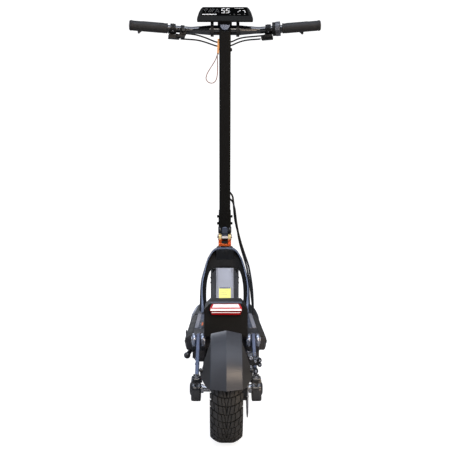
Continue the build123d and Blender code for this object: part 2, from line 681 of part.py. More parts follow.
def handlebar():
    """Bar, grips, lever perches, throttle, switch pod, horn button and both brake levers."""
    thick = bar_thick_w / 2
    thin = thick + bar_taper_share * (bar_bend - thick)
    centre_line = Plane(origin=bar_centre, x_dir=(0, 1, 0), z_dir=(1, 0, 0))
    half = Pos(0, 0, thick / 2) * Cylinder(bar_d / 2, thick)
    half += Pos(0, 0, (thick + thin) / 2) * Cone(bar_d / 2, bar_end_d / 2, thin - thick)
    half += Pos(0, 0, (thin + bar_bend) / 2) * Cylinder(bar_end_d / 2, bar_bend - thin)
    end = along(bar_w / 2)
    swept = Pos(0, 0, end / 2) * Cylinder(bar_end_d / 2, end) + Sphere(bar_end_d / 2)
    bore = Pos(0, 0, end - 45) * Cylinder(bar_end_d / 2 - bar_wall, 100)
    half = centre_line * half + BAR * (swept - bore)
    keep("handlebar", half + flip(half))
    grip_in = end - grip_len
    for side, word in ((1, "right"), (-1, "left")):
        grip = Pos(0, 0, (grip_in + end) / 2) * Cylinder(grip_d / 2, grip_len)
        grip += Pos(0, 0, grip_in + 2) * Cylinder(grip_d / 2 + grip_flange, 4)
        grip += Pos(0, 0, end - 2.5) * Cylinder(grip_d / 2 + grip_flange, 5)
        grip -= Pos(0, 0, end) * Cylinder(bar_end_d / 2, 2 * grip_len + 20)
        keep("grip_" + word, on_bar(grip, side))

    perches = []
    for side, word, inward in ((1, "right", perch_right_in), (-1, "left", perch_left_in)):
        at = along(bar_w / 2 - inward)
        ring = Pos(0, 0, at) * Cylinder(16.5, perch_w - 8)
        block = Pos(8, lever_y, at) * Box(17, 19, perch_w)
        ears = Pos(22, lever_y, at) * Box(24, 19, 17) - Pos(30, lever_y, at) * Box(26.6, lever_t + 0.6, 40)
        tank = Pos(8, -24.5, at - 6) * fillet(Box(20, 12, 38).edges().filter_by(Axis.X), 3)
        link = Pos(8, -16, at) * Box(12, 12, 12)
        perch = ring + block + ears + tank + link - Pos(0, 0, at) * Cylinder(bar_end_d / 2, 200)
        perch += Pos(26, lever_y, at) * Rot(90, 0, 0) * Cylinder(lever_pin_d / 2, 19)
        perches.append(on_bar(perch, side))
        flat = Plane(origin=(0, lever_y - lever_t / 2, at), x_dir=(0, 0, 1), z_dir=(0, 1, 0))

        def limb(*circles):
            """Hull of circles given as outward, forward and radius."""
            rims = [Edge.make_circle(r, Plane((out, ahead, 0))) for out, ahead, r in circles]
            return extrude(flat * make_hull(rims), lever_t, dir=(0, 1, 0))

        lever = limb((0, 26, 8.5), (22, 42, 6)) + limb((22, 42, 6), (62, 45, 5)) + limb((62, 45, 5), (lever_len, 50, 6))
        lever -= Pos(26, lever_y, at) * Rot(90, 0, 0) * Cylinder(lever_pin_d / 2 + running, 40)
        keep("brake_lever_" + word, on_bar(lever, side))
    keep("lever_perches", *perches)

    # Throttle housing and its thumb ring, inboard of the right grip.
    at = along(bar_w / 2 - throttle_in)
    bar_hole = Pos(0, 0, at) * Cylinder(bar_end_d / 2, 90)
    housing = Pos(0, 0, at - 8) * Cylinder(throttle_d / 2 - 1, 10) + Pos(0, 0, at) * Cylinder(14, 24)
    keep("throttle_body", on_bar(housing - bar_hole, 1))
    ring = Pos(0, 0, at + 4.5) * Cylinder(throttle_d / 2, 14) + Pos(-26, -9, at + 4.5) * Box(22, 9, 14)
    ring -= Pos(0, 0, at) * Cylinder(14 + running, 60)
    keep("thumb_throttle", on_bar(ring, 1))

    # Switch pod and horn button, inboard of the left perch.
    at = along(bar_w / 2 - switch_in)
    pod = Pos(0, 0, at) * Cylinder(17, 26) + Pos(-14, -6, at) * Box(16, 18, 26)
    pod -= Pos(0, 0, at) * Cylinder(bar_end_d / 2, 90)
    sleeve = Pos(-19, -6, at) * Rot(0, 90, 0) * Cylinder(5, 8)
    keep("switch_pod", on_bar(pod - sleeve, -1))
    button = Pos(-21, -6, at) * Rot(0, 90, 0) * Cylinder(5 - running, 6)
    keep("horn_button", on_bar(button, -1))


def display():
    """Wedge display over the stem: housing, glass and two clamps on the bar."""
    tilt = radians(display_tilt)
    low = Vector(0, rear_y + display_low_y, display_low_z)
    plane = Plane(origin=low, x_dir=(1, 0, 0), z_dir=(0, -sin(tilt), cos(tilt)))
    half, top = display_w / 2, display_top_w / 2
    shoulder = (half + top) / 2
    right = [(half - 4, 0), (half, 6), (half, 16), (shoulder + 2, display_len * 0.63), (top + 3, display_len - 9),
             (top - 3, display_len)]
    outline = Polyline(*right, *[(-x, y) for x, y in reversed(right)], close=True)
    body = extrude(make_face(outline), -display_t)
    body = chamfer(body.faces().sort_by(Axis.Z)[0].edges(), 4)
    under = Plane.YZ * make_face(Polyline((-1, -display_edge_t), (24, -display_t), (24, -30), (-1, -30), close=True))
    body -= Pos(-display_w, 0, 0) * extrude(under, 2 * display_w, dir=(1, 0, 0))
    y0, y1 = display_len - glass_len - 3, display_len - 3
    glass = Polyline((-half + 13, y0), (half - 13, y0), (top - 5, y1), (-top + 5, y1), close=True)
    pane = extrude(make_face(glass), -glass_t)
    keep("display_housing", plane * (body - pane))
    keep("display_glass", plane * pane)
    seat = plane.from_local_coords(Vector(0, display_len * 0.52, -display_t))
    clamps = []
    for side in (-1, 1):
        x = side * clamp_at - clamp_w / 2
        clamp = hull_x([(bar_centre.Y, bar_centre.Z, 21), (seat.Y + 4, seat.Z - 6, 8)], x, x + clamp_w)
        clamp += hull_x([(seat.Y + 4, seat.Z - 6, 8), (seat.Y + 8, seat.Z + 14, 8)], x, x + clamp_w)
        clamp -= rod(bar_d, (x - 1, bar_centre.Y, bar_centre.Z), (x + clamp_w + 1, bar_centre.Y, bar_centre.Z))
        clamp -= plane * Pos(0, 0, 500 - display_t) * Box(1000, 1000, 1000)
        clamps.append(clamp)
    keep("display_clamps", *clamps)


# --- Cords --------------------------------------------------------------------------------------


def cords():
    """Lanyard loop, handlebar hoses, the harness to the deck and the two rear lines."""
    lanyard = [(-24.6, 1085), (-29, 1069), (-39, 1052), (-50, 1035), (-60, 1018), (-63.5, 1002), (-54, 990.5), (-39, 988.5),
               (-28.5, 999), (-25, 1017), (-24.2, 1040), (-24.6, 1064), (-25.5, 1083)]
    lanyard = [(x, rear_y + 665 + 3 * (i > 5), z) for i, (x, z) in enumerate(lanyard)]
    keep("lanyard_cord", cord_tube("lanyard_cord", lanyard_d, lanyard))

    # Each hose runs from a lever's perch to the stem: out is the share of the way to that perch.
    hoses = []
    left_reach = bar_w / 2 - perch_left_in - stem_w / 2
    right_reach = bar_w / 2 - perch_right_in - stem_w / 2
    for n, (side, reach, route) in enumerate((
        (-1, left_reach, [(0.837, 664, 1134), (0.66, 669, 1133.5), (0.49, 678, 1134), (0.33, 684, 1129.5), (0.18, 682, 1121),
                          (0.07, 675, 1113.5), (0, 674, 1111)]),
        (-1, left_reach, [(0.711, 667, 1152), (0.56, 674, 1152), (0.4, 682, 1147.5), (0.26, 686, 1141), (0.14, 682, 1132),
                          (0.06, 675, 1126), (0, 673, 1124)]),
        (1, right_reach, [(0.795, 668, 1135), (0.66, 674, 1135), (0.47, 681, 1135), (0.29, 685, 1131.5), (0.15, 681, 1124),
                          (0.06, 675, 1117), (0, 674, 1114)]),
        (1, right_reach, [(0.96, 674.5, 1149.5), (0.8, 682, 1148.5), (0.6, 691, 1148.5), (0.37, 695, 1147), (0.2, 690, 1141),
                          (0.08, 680, 1131), (0, 675, 1126)]),
    )):
        points = [(side * (stem_w / 2 + out * reach), rear_y + a, z) for out, a, z in route]
        hoses.append(cord_tube(f"handlebar hose {n}", hose_d, points))
    keep("handlebar_hoses", *hoses)

    # The harness leaves the stem's right side and runs outside the right arch arm to the deck.
    upper, lower = [], []
    for n, (x0, y0, z0) in enumerate(((0, 0, 0), (1.5, -9, -4))):
        start = [(19, 790, 634), (30, 789, 627), (34, 787, 607)] if n == 0 else [(19, 797, 612), (29, 793, 606), (34, 782, 590)]
        head = start + [
            (35 + x0, 787 + y0, 580 + z0), (37 + x0, 791 + y0, 553 + z0), (39.5 + x0, 795.5 + y0, 527 + z0),
            (44.5 + x0, 798 + y0, 501 + z0),
        ]
        tail = [
            (44.5 + x0, 798 + y0, 501 + z0), (49.5 + x0, 800.5 + y0, 475 + z0), (60 + x0, 801 + y0, 446 + z0),
            (74 + x0, 798 + y0, 416 + z0), (harness_x - 7.5 + x0, 788 + y0, 382), (harness_x - 2 + x0, 768 + y0, 343),
            (harness_x - 0.5 + x0, 742 + y0, 304), (harness_x + x0 / 2, 710 + y0, 270), (harness_x + 0.1, 684 + y0, 252),
            (harness_x, 672 + y0, 240), (harness_x, 669 + y0, deck_top),
        ]
        upper.append(cord_tube(f"harness upper {n}", loom_d, [(x, rear_y + a, z) for x, a, z in head]))
        lower.append(cord_tube(f"harness lower {n}", loom_d, [(x, rear_y + a, z) for x, a, z in tail]))
    keep("harness_upper", *upper)
    keep("harness_lower", *lower)

    motor = [(-47, 170, 196), (-49, 146, 199), (-53, 120, 190), (-55, 92, 172), (-54, 64, 157), (-51, 36, 147), (-48, 12, 139)]
    brake = [(48, 170, 192), (49, 144, 199), (51, 116, 200), (55, 90, 194), (58, 70, 191), (58.5, 52.5, 191)]
    keep(
        "rear_cables",
        cord_tube("rear motor cable", loom_d, [(x, rear_y + a, z) for x, a, z in motor]),
        cord_tube("rear brake hose", hose_d, [(x, rear_y + a, z) for x, a, z in brake]),
    )


# --- Build --------------------------------------------------------------------------------------

deck()
kickstand()
neck()
hinge()
stem()
handlebar()
display()
rear_suspension()
front_suspension()
wheel("rear", rear_y, -1)
wheel("front", front_y, 1)
cords()

os.makedirs("parts", exist_ok=True)
for node, solids in parts.items():
    export_step(solids[0] if len(solids) == 1 else Compound(children=solids), f"parts/{node}.step")
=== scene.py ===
import json
from math import cos, hypot, pi, radians, sin, tau

import bmesh
import bpy
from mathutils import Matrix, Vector


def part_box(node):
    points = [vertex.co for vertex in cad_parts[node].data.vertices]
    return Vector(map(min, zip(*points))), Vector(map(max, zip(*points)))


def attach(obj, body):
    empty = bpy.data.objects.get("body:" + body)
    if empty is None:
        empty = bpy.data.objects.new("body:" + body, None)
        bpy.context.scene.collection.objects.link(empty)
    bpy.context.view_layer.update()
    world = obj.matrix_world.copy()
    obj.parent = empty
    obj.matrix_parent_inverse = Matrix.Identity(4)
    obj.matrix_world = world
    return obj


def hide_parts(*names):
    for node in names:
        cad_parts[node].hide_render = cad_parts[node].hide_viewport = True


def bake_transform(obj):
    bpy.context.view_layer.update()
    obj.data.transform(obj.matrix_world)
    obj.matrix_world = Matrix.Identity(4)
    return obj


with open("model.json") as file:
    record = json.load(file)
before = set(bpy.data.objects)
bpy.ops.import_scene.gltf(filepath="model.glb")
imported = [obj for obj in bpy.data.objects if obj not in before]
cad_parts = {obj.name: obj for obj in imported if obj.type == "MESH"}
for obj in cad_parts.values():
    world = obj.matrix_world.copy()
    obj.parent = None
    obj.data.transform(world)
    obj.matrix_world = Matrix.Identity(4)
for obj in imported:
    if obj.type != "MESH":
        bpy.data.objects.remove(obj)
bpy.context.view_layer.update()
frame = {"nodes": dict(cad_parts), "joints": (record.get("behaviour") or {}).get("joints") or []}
nodes = frame["nodes"]
joints = {joint["name"]: joint for joint in frame["joints"]}

# --- Camera and studio --------------------------------------------------------------------------
# A long lens stands level behind the scooter at hip height, a little left of its middle plane.
# White sweep and floor, one broad overhead box, and strips at both sides for the edges.

rear_axle = Vector(joints["rear_wheel_spin"]["pos_m"])
front_axle = Vector(joints["front_wheel_spin"]["pos_m"])

eye_x = -0.0112
eye_behind_axle = 1.85
eye_height = 0.5225
camera_data = bpy.data.cameras.new("camera")
camera_data.lens = 61.2
camera_data.clip_start = 0.01
camera = bpy.data.objects.new("camera", camera_data)
camera.location = (eye_x, rear_axle.y - eye_behind_axle, eye_height)
camera.rotation_euler = (radians(90), 0, radians(-0.257))
bpy.context.collection.objects.link(camera)
scene = bpy.context.scene
scene.camera = camera
scene.view_settings.view_transform = "Standard"


def rgb(code):
    """Scene-linear colour of an sRGB hex code."""
    parts = [int(code[i : i + 2], 16) / 255 for i in (0, 2, 4)]
    return (*(p / 12.92 if p <= 0.04045 else ((p + 0.055) / 1.055) ** 2.4 for p in parts), 1.0)


def add(tree, kind, **settings):
    """Adds a shader node, setting its options and inputs by name; a socket as a value is linked."""
    node = tree.nodes.new("ShaderNode" + kind)
    for name, value in settings.items():
        if isinstance(value, str):
            setattr(node, name, value)
            continue
        numbered = name[0] == "i" and name[1:].isdigit()
        socket = node.inputs[int(name[1:]) if numbered else name.replace("_", " ")]
        if isinstance(value, bpy.types.NodeSocket):
            tree.links.new(value, socket)
        else:
            socket.default_value = value
    return node


# Lamps: name, place, the point it aims at, size in metres, power in watts and colour.
for name, place, aim, size, power, code in (
    ("overhead", (0.1, -1.1, 3.2), (0, 0, 0.6), (2.2, 2.0), 44, "e4ecff"),
    ("bar_strip", (0.0, -1.5, 3.3), (0, 0.2, 1.1), (1.4, 0.14), 9, "f0f4ff"),
    ("key_right", (0.95, -2.15, 1.4), (0, -0.6, 0.2), (0.7, 0.7), 17, "ffe6cc"),
    ("rear_high", (0.2, -3.7, 2.1), (0, 0, 0.7), (1.2, 0.6), 26, "fff6ec"),
    ("strip_left", (-2.6, -1.6, 1.2), (0, 0, 0.5), (0.5, 2.0), 26, "dfe8ff"),
    ("strip_right", (2.6, -1.8, 0.7), (0, 0, 0.4), (0.5, 1.6), 30, "ffe2c4"),
    ("low_right", (0.9, -2.6, 0.25), (0, -0.6, 0.25), (0.5, 0.35), 5, "ffe6cf"),
    ("front_fill", (-1.2, 3.0, 2.0), (0, 0, 0.6), (1.6, 1.6), 28, "eef3ff"),
):
    data = bpy.data.lights.new(name, "AREA")
    data.shape, data.size, data.size_y = "RECTANGLE", *size
    data.energy, data.color = power, rgb(code)[:3]
    light = bpy.data.objects.new(name, data)
    light.location = place
    light.rotation_euler = (Vector(aim) - Vector(place)).to_track_quat("-Z", "Y").to_euler()
    bpy.context.collection.objects.link(light)

# The room: dark under foot and paler overhead, so that dark coats keep a soft top light.
world = bpy.data.worlds.new("studio_sky")
scene.world = world
world.use_nodes = True
tree = world.node_tree
height = add(tree, "SeparateXYZ", i0=add(tree, "TexCoord").outputs["Generated"]).outputs["Z"]
spread = add(tree, "MapRange", Value=height, From_Min=-1.0).outputs[0]
ramp = add(tree, "ValToRGB", i0=spread)
tree.links.new(ramp.outputs[0], tree.nodes["Background"].inputs["Color"])
stops = ramp.color_ramp.elements
stops[0].color, stops[1].color = (0.02, 0.019, 0.018, 1), (0.46, 0.5, 0.56, 1)
for place, shade in ((0.44, 0.03), (0.52, 0.10), (0.66, 0.20), (0.8, 0.34)):
    stops.new(place).color = (shade * 0.92, shade * 0.97, shade * 1.08, 1)

# Floor and backdrop are white paper to the eye, but light the part only as grey paper would.
for name, glow, corners in (
    ("floor", 0.86, [(-9, -9, -0.0015), (9, -9, -0.0015), (9, 9, -0.0015), (-9, 9, -0.0015)]),
    ("backdrop", 1.0, [(-9, 8.5, -0.002), (9, 8.5, -0.002), (9, 8.5, 7), (-9, 8.5, 7)]),
):
    mesh = bpy.data.meshes.new(name)
    mesh.from_pydata(corners, [], [(0, 1, 2, 3)])
    sweep = bpy.data.objects.new(name, mesh)
    bpy.context.collection.objects.link(sweep)
    paper = bpy.data.materials.new(name + "_paper")
    paper.use_nodes = True
    tree = paper.node_tree
    ray = add(tree, "LightPath").outputs
    seen = add(tree, "Math", operation="MAXIMUM", i0=ray["Is Camera Ray"], i1=ray["Is Transmission Ray"])
    # The paper's own glow makes up for the lamps' fall-off between 1.2 and 3 m from the part.
    away = add(tree, "VectorMath", operation="LENGTH", i0=add(tree, "TexCoord").outputs["Object"])
    even = add(
        tree, "MapRange", Value=away.outputs["Value"], From_Min=1.2, From_Max=3.0, To_Min=glow, To_Max=1.0
    )
    power = add(tree, "Math", operation="MULTIPLY", i0=seen.outputs[0], i1=even.outputs[0])
    shader = tree.nodes["Principled BSDF"]
    shader.inputs["Base Color"].default_value = (0.4, 0.4, 0.4, 1)
    shader.inputs["Roughness"].default_value = 0.9
    shader.inputs["Emission Color"].default_value = (1, 1, 1, 1)
    tree.links.new(power.outputs[0], shader.inputs["Emission Strength"])
    mesh.materials.append(paper)

# --- Wrist lanyard ------------------------------------------------------------------------------
# Thin braided polyester cord, sewn at both ends into a folded webbing tab on the stem's left side.
# It hangs limp in an open loop.


def surface(name, code, rough, metal=0.0, grain=0.0, grit=0.8, mottle=0.08, edge=0.5, wear_and_highlight="", **sockets):
    """Mottled colour and roughness, a bumped grain of the given grit in mm, eased edges in mm, and a paler
    edge colour that is partly rubbed wear and partly a painted edge highlight.

    The mottle's patches are some 70 mm across. Real grain is 0.1 to 0.3 mm, too fine to show from
    here, so each grit is a few times coarser than the real one.
    """
    made = bpy.data.materials.new(name)
    made.use_nodes = True
    tree = made.node_tree
    shader = tree.nodes["Principled BSDF"]
    place = add(tree, "TexCoord").outputs["Object"]
    broad = add(tree, "TexNoise", Vector=place, Scale=14.0, Detail=7.0, Roughness=0.6).outputs["Fac"]
    paler, darker = 1 + mottle, 1 - mottle
    tint = add(tree, "MapRange", Value=broad, From_Min=0.3, From_Max=0.7, To_Min=darker, To_Max=paler)
    base = add(tree, "VectorMath", operation="SCALE", i0=rgb(code)[:3], Scale=tint.outputs[0]).outputs[0]
    rounded = add(tree, "Bevel", Radius=edge / 1000).outputs[0]
    if wear_and_highlight:
        # Where the bevelled normal leaves the face normal, the colour turns paler: partly rubbed coating,
        # partly a painted edge highlight.
        flat = add(tree, "NewGeometry").outputs["Normal"]
        facing = add(tree, "VectorMath", operation="DOT_PRODUCT", i0=rounded, i1=flat).outputs["Value"]
        rub_and_highlight = add(tree, "MapRange", Value=facing, From_Min=0.97, From_Max=0.8, To_Min=0.0, To_Max=0.7)
        patchy = add(tree, "Math", operation="MULTIPLY", i0=rub_and_highlight.outputs[0], i1=broad).outputs[0]
        base = add(tree, "Mix", data_type="RGBA", i0=patchy, i6=base, i7=rgb(wear_and_highlight)).outputs[2]
    tree.links.new(base, shader.inputs["Base Color"])
    smooth, dull = rough * 0.82, min(1, rough * 1.18)
    polish = add(tree, "MapRange", Value=broad, From_Min=0.3, From_Max=0.7, To_Min=smooth, To_Max=dull)
    tree.links.new(polish.outputs[0], shader.inputs["Roughness"])
    shader.inputs["Metallic"].default_value = metal
    for socket, value in sockets.items():
        shader.inputs[socket.replace("_", " ")].default_value = value
    fine = add(tree, "TexNoise", Vector=place, Scale=1000 / grit, Detail=2.0).outputs["Fac"]
    bump = add(tree, "Bump", Height=fine, Strength=grain, Distance=grit / 4000, Normal=rounded)
    tree.links.new(bump.outputs[0], shader.inputs["Normal"])
    return made


def line(name, points, diameter):
    """Smooth round line whose control points are the route's, in millimetres."""
    curve = bpy.data.curves.new(name, "CURVE")
    curve.dimensions = "3D"
    curve.bevel_depth, curve.bevel_resolution, curve.resolution_u = diameter / 2000, 5, 12
    curve.use_fill_caps = True
    spline = curve.splines.new("NURBS")
    spline.points.add(len(points) - 1)
    for knot, point in zip(spline.points, points):
        knot.co = (*(value / 1000 for value in point), 1)
    spline.order_u = 3
    spline.use_endpoint_u = True
    made = bpy.data.objects.new(name, curve)
    bpy.context.collection.objects.link(made)
    return made


# Braided polyester: matt brown yarn in two tones. The real picks are 1.6 mm apart, too fine to
# show, so their diagonal bands are drawn some 6 mm apart.
braid = surface(
    "braided_polyester", "7a3c04", 0.75, grain=0.4, grit=0.4, mottle=0.15, edge=0.2, Specular_IOR_Level=0.2
)
tree = braid.node_tree
place = add(tree, "TexCoord").outputs["Object"]
picks = add(
    tree, "TexWave", wave_type="BANDS", bands_direction="DIAGONAL", Vector=place, Scale=105.0,
    Distortion=1.5
).outputs["Fac"]
colour = tree.nodes["Principled BSDF"].inputs["Base Color"]
yarn = colour.links[0].from_socket
two_tone = add(tree, "Mix", data_type="RGBA", blend_type="MULTIPLY", i0=picks, i6=yarn, i7=rgb("ffe9d0"))
tree.links.new(two_tone.outputs[2], colour)

route = [
    (-24.6, 190, 1085), (-29, 190, 1069), (-39, 190, 1052), (-50, 190, 1035), (-60, 190, 1018),
    (-63.5, 190, 1002), (-54, 193, 990.5), (-39, 193, 988.5), (-28.5, 193, 999), (-25, 193, 1017),
    (-24.2, 193, 1040), (-24.6, 193, 1064), (-25.5, 193, 1083),
]
lanyard_thick = 2.6
lanyard = line("lanyard_loop", route, lanyard_thick)
lanyard.data.materials.append(braid)
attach(lanyard, "stem")
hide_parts("lanyard_cord")

# --- Hoses, throttle cable and wiring -----------------------------------------------------------
# Black PVC-sheathed lines. Four run from the bar's controls into the stem, two leave the stem's
# right side and pass outside the arch into the deck, and two run back to the rear wheel.

hose_thick, loom_thick = 5.0, 6.5

# Extruded PVC: near black, with one soft streak of light along each line.
sheath = surface(
    "extruded_pvc_sheath", "0b0b0b", 0.36, grain=0.15, grit=0.7, mottle=0.2, edge=0.2,
    Specular_IOR_Level=0.3
)

for name, points in {
    "brake_hose_left": [
        (-146.2, 189, 1134), (-119.3, 194, 1133.5), (-93.5, 203, 1134), (-69.2, 209, 1129.5),
        (-46.4, 207, 1121), (-29.6, 200, 1113.5), (-16, 199, 1110.5),
    ],
    "horn_wire": [
        (-127.1, 192, 1152), (-104.1, 199, 1152), (-79.8, 207, 1147.5), (-58.5, 211, 1141),
        (-40.3, 207, 1132), (-28.1, 200, 1126), (-16, 198, 1123.5),
    ],
    "brake_hose_right": [
        (116.8, 193, 1135), (100.2, 199, 1135), (76.8, 206, 1135), (54.7, 210, 1131.5), (37.5, 206, 1124),
        (26.4, 200, 1117), (16, 199, 1113.5),
    ],
    "throttle_cable": [
        (137.1, 199.5, 1149.5), (117.4, 207, 1148.5), (92.8, 216, 1148.5), (64.5, 220, 1147),
        (43.6, 215, 1141), (28.8, 205, 1131), (16, 200, 1125.5),
    ],
}.items():
    hose = line(name, points, hose_thick)
    hose.data.materials.append(sheath)
    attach(hose, "stem")
    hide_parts("handlebar_hoses")


def tube(name, points, diameter):
    """Line turned into a mesh."""
    drawn = line(name + "_centre", points, diameter)
    bpy.context.view_layer.update()
    graph = bpy.context.evaluated_depsgraph_get()
    mesh = bpy.data.meshes.new_from_object(drawn.evaluated_get(graph))
    bpy.data.objects.remove(drawn)
    mesh.name = name
    made = bpy.data.objects.new(name, mesh)
    bpy.context.collection.objects.link(made)
    mesh.materials.clear()
    mesh.materials.append(sheath)
    mesh.shade_smooth()
    return made


# Looms: the upper run bends between stem and fork crown, the lower one between crown and deck.
looms = {
    "motor": (
        [
            (17, 315, 635), (26, 314, 627), (29.5, 312, 607), (31, 312, 580), (33.5, 316, 553),
            (37.5, 320.5, 527), (44.5, 323, 501),
        ],
        [
            (44.5, 323, 501), (48.5, 325.5, 475), (55.5, 326, 446), (64.5, 323, 416), (74.5, 313, 382),
            (82, 293, 343), (87.5, 267, 304), (90.5, 235, 270), (92, 209, 252), (92.5, 197, 240),
            (92.5, 194, 226),
        ],
    ),
    "signal": (
        [
            (17, 322, 613), (27, 318, 606), (31, 307, 590), (34.5, 303, 576), (37.5, 307, 549),
            (41, 311.5, 523), (46, 314, 497),
        ],
        [
            (46, 314, 497), (52.5, 316.5, 471), (61.5, 317, 442), (71.5, 314, 412), (82, 304, 382),
            (88.5, 284, 343), (93, 258, 304), (93.25, 226, 270), (92.6, 200, 252), (92.5, 188, 240),
            (92.5, 185, 226),
        ],
    ),
}
for name, (upper, lower) in looms.items():
    loom = tube(name + "_loom_upper", upper, loom_thick)
    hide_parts("harness_upper")
    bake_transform(loom)
    loom = tube(name + "_loom_lower", lower, loom_thick)
    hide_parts("harness_lower")
    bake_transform(loom)

motor_lead = tube("rear_motor_lead", [
    (-47, -303, 196), (-49, -329, 199), (-53, -355, 190), (-55, -383, 172), (-54, -411, 157),
    (-51, -439, 147), (-48, -463, 139),
], loom_thick)
brake_line = tube("rear_brake_line", [
    (48, -303, 192), (49, -331, 199), (51, -359, 200), (55, -385, 194), (58, -405, 191),
    (58.5, -422.5, 191),
], hose_thick)
for lead in (motor_lead, brake_line):
    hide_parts("rear_cables")
    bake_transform(lead)

# --- Tyres --------------------------------------------------------------------------------------
# Moulded rubber, 10 by 3 inch, with a knobbly tread: forty rows of blocks parted by curved grooves,
# two row patterns by turns, and shoulder knobs that run down onto the sidewall.


def piece(name, bm, material, body, slot, *stands_for, sharp=32, ease=0.0):
    """Makes a mesh in millimetres into a piece of the part, with its creases kept and its edges eased."""
    bmesh.ops.scale(bm, vec=(0.001, 0.001, 0.001), verts=bm.verts)
    bmesh.ops.recalc_face_normals(bm, faces=bm.faces)
    for face in bm.faces:
        face.smooth = True
    for edge in bm.edges:
        edge.smooth = len(edge.link_faces) == 2 and edge.calc_face_angle(0) < radians(sharp)
    mesh = bpy.data.meshes.new(name)
    bm.to_mesh(mesh)
    bm.free()
    made = bpy.data.objects.new(name, mesh)
    bpy.context.collection.objects.link(made)
    mesh.materials.append(material)
    if ease:
        round_over = made.modifiers.new("ease", "BEVEL")
        round_over.width, round_over.segments, round_over.limit_method = ease / 1000, 2, "ANGLE"
        round_over.angle_limit = radians(sharp)
    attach(made, body)
    if stands_for:
        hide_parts(*stands_for)
    return made


def skin(bm, rings, loop=True, ends=False, wrap=False):
    """Faces between rings of points; loop closes each ring, wrap joins the last ring to the first."""
    rows = [[bm.verts.new(point) for point in ring] for ring in rings]
    count = len(rows[0])
    for a, b in zip(rows, rows[1:] + rows[:1] if wrap else rows[1:]):
        for i in range(count if loop else count - 1):
            bm.faces.new((a[i], a[(i + 1) % count], b[(i + 1) % count], b[i]))
    if ends:
        bm.faces.new(rows[0])
        bm.faces.new(rows[-1])
    return rows


def turned(bm, centre, profile, steps, axis=Vector((1, 0, 0))):
    """Lathe work: a profile of (along, radius) spun about an axis through a centre, in millimetres."""
    axis = Vector(axis).normalized()
    side = axis.orthogonal().normalized() if abs(axis.x) < 0.9 else Vector((0, 1, 0))
    up = axis.cross(side)
    spokes = [side * cos(tau * k / steps) + up * sin(tau * k / steps) for k in range(steps)]
    rings = [[Vector(centre) + axis * x + r * spoke for spoke in spokes] for x, r in profile]
    return skin(bm, rings, ends=True)


def round_axle(middle, x, r, turn):
    """The place at a radius and a turn back from the top of a circle about an axle."""
    return middle + Vector((x, -r * sin(turn), r * cos(turn)))


tyre_rows = 40
tyre_pitch = tau / tyre_rows
tread_half = 38.5
tread_deep = 4.6
smile_depth = 15.0


def tread_face(v):
    """Radius of the crown at a place across the tread."""
    return 126.8 - 0.0242 * max(0.0, abs(v) - 11) ** 1.94


# Half of the carcass, from bead to crown: (across, radius), up to the floor of the grooves.
carcass = [
    (27, 79), (30, 80), (32.6, 86), (33.4, 90), (34.6, 92), (35.2, 97), (35.6, 99), (35.4, 103),
    (34.8, 108),
]
carcass += [(v, tread_face(v) - tread_deep) for v in (33, 28, 22, 15, 8)]

# Blocks of each row: corners as (across the tread in mm, share of the row), one side; the other mirrors it.
block_rows = (
    (
        [(-38.3, 0.16), (-29.4, 0.05), (-27.6, 0.95), (-38.3, 0.84)],
        [(-28.4, 0.05), (-19.6, 0.05), (-17.0, 0.95), (-26.6, 0.95)],
        [(-18.6, 0.05), (-9.6, 0.05), (-7.4, 0.95), (-16, 0.95)],
        [(-8.4, 0.05), (-2.6, 0.05), (-1.2, 0.95), (-6.2, 0.95)],
        [(-1.4, 0.05), (0, 0.05), (0, 0.5), (-0.3, 0.5)],
    ),
    (
        [(-38.3, 0.16), (-31.4, 0.05), (-32.8, 0.95), (-38.3, 0.84)],
        [(-30.4, 0.05), (-20.6, 0.05), (-19.6, 0.95), (-31.8, 0.95)],
        [(-19.6, 0.05), (-12.2, 0.05), (-10.2, 0.95), (-18.6, 0.95)],
        [(-11.2, 0.05), (-5.2, 0.05), (-2.4, 0.95), (-9.2, 0.95)],
        [(-4.2, 0.05), (0, 0.05), (0, 0.95), (-1.4, 0.95)],
    ),
)


def tread_block(bm, middle, row, corners):
    """One block: its foot in the carcass, its wall, and its top drawn in a little."""
    mid_v = sum(v for v, _ in corners) / 4
    mid_s = sum(share for _, share in corners) / 4
    rings = []
    for level, shrink in ((-5.4, 0.0), (-0.7, 0.1), (0.0, 0.55)):
        ring = []
        for v, share in corners:
            v += shrink if v < mid_v else -shrink
            share += (0.05 if share < mid_s else -0.05) * shrink
            smile = smile_depth * (1 - (v / tread_half) ** 2) / 127
            r = tread_face(v) + level
            if abs(v) > 37 and level < -2:
                r -= 6.0
            ring.append(round_axle(middle, v, r, (row + share) * tyre_pitch + smile))
        rings.append(ring)
    bm.faces.new(skin(bm, rings)[-1])


# Tyre rubber: carbon-black compound fresh from the mould, matt and uneven, with painted shade in its
# grooves.
tread_rubber = surface(
    "moulded_tyre_rubber", "333332", 0.6, grain=0.5, grit=1.4, mottle=0.22, edge=0.7,
    Specular_IOR_Level=0.35
)
tree = tread_rubber.node_tree
# Painted shade: ambient occlusion darkens the colour in grooves and gaps.
groove_occlusion = add(tree, "AmbientOcclusion", Distance=0.006).outputs["AO"]
colour = tree.nodes["Principled BSDF"].inputs["Base Color"]
bare = colour.links[0].from_socket
deep = add(tree, "MapRange", Value=groove_occlusion, From_Min=0.3, From_Max=0.9, To_Min=0.55, To_Max=1.0).outputs[0]
painted_groove_shade = add(tree, "VectorMath", operation="SCALE", i0=bare, Scale=deep).outputs[0]
tree.links.new(painted_groove_shade, colour)

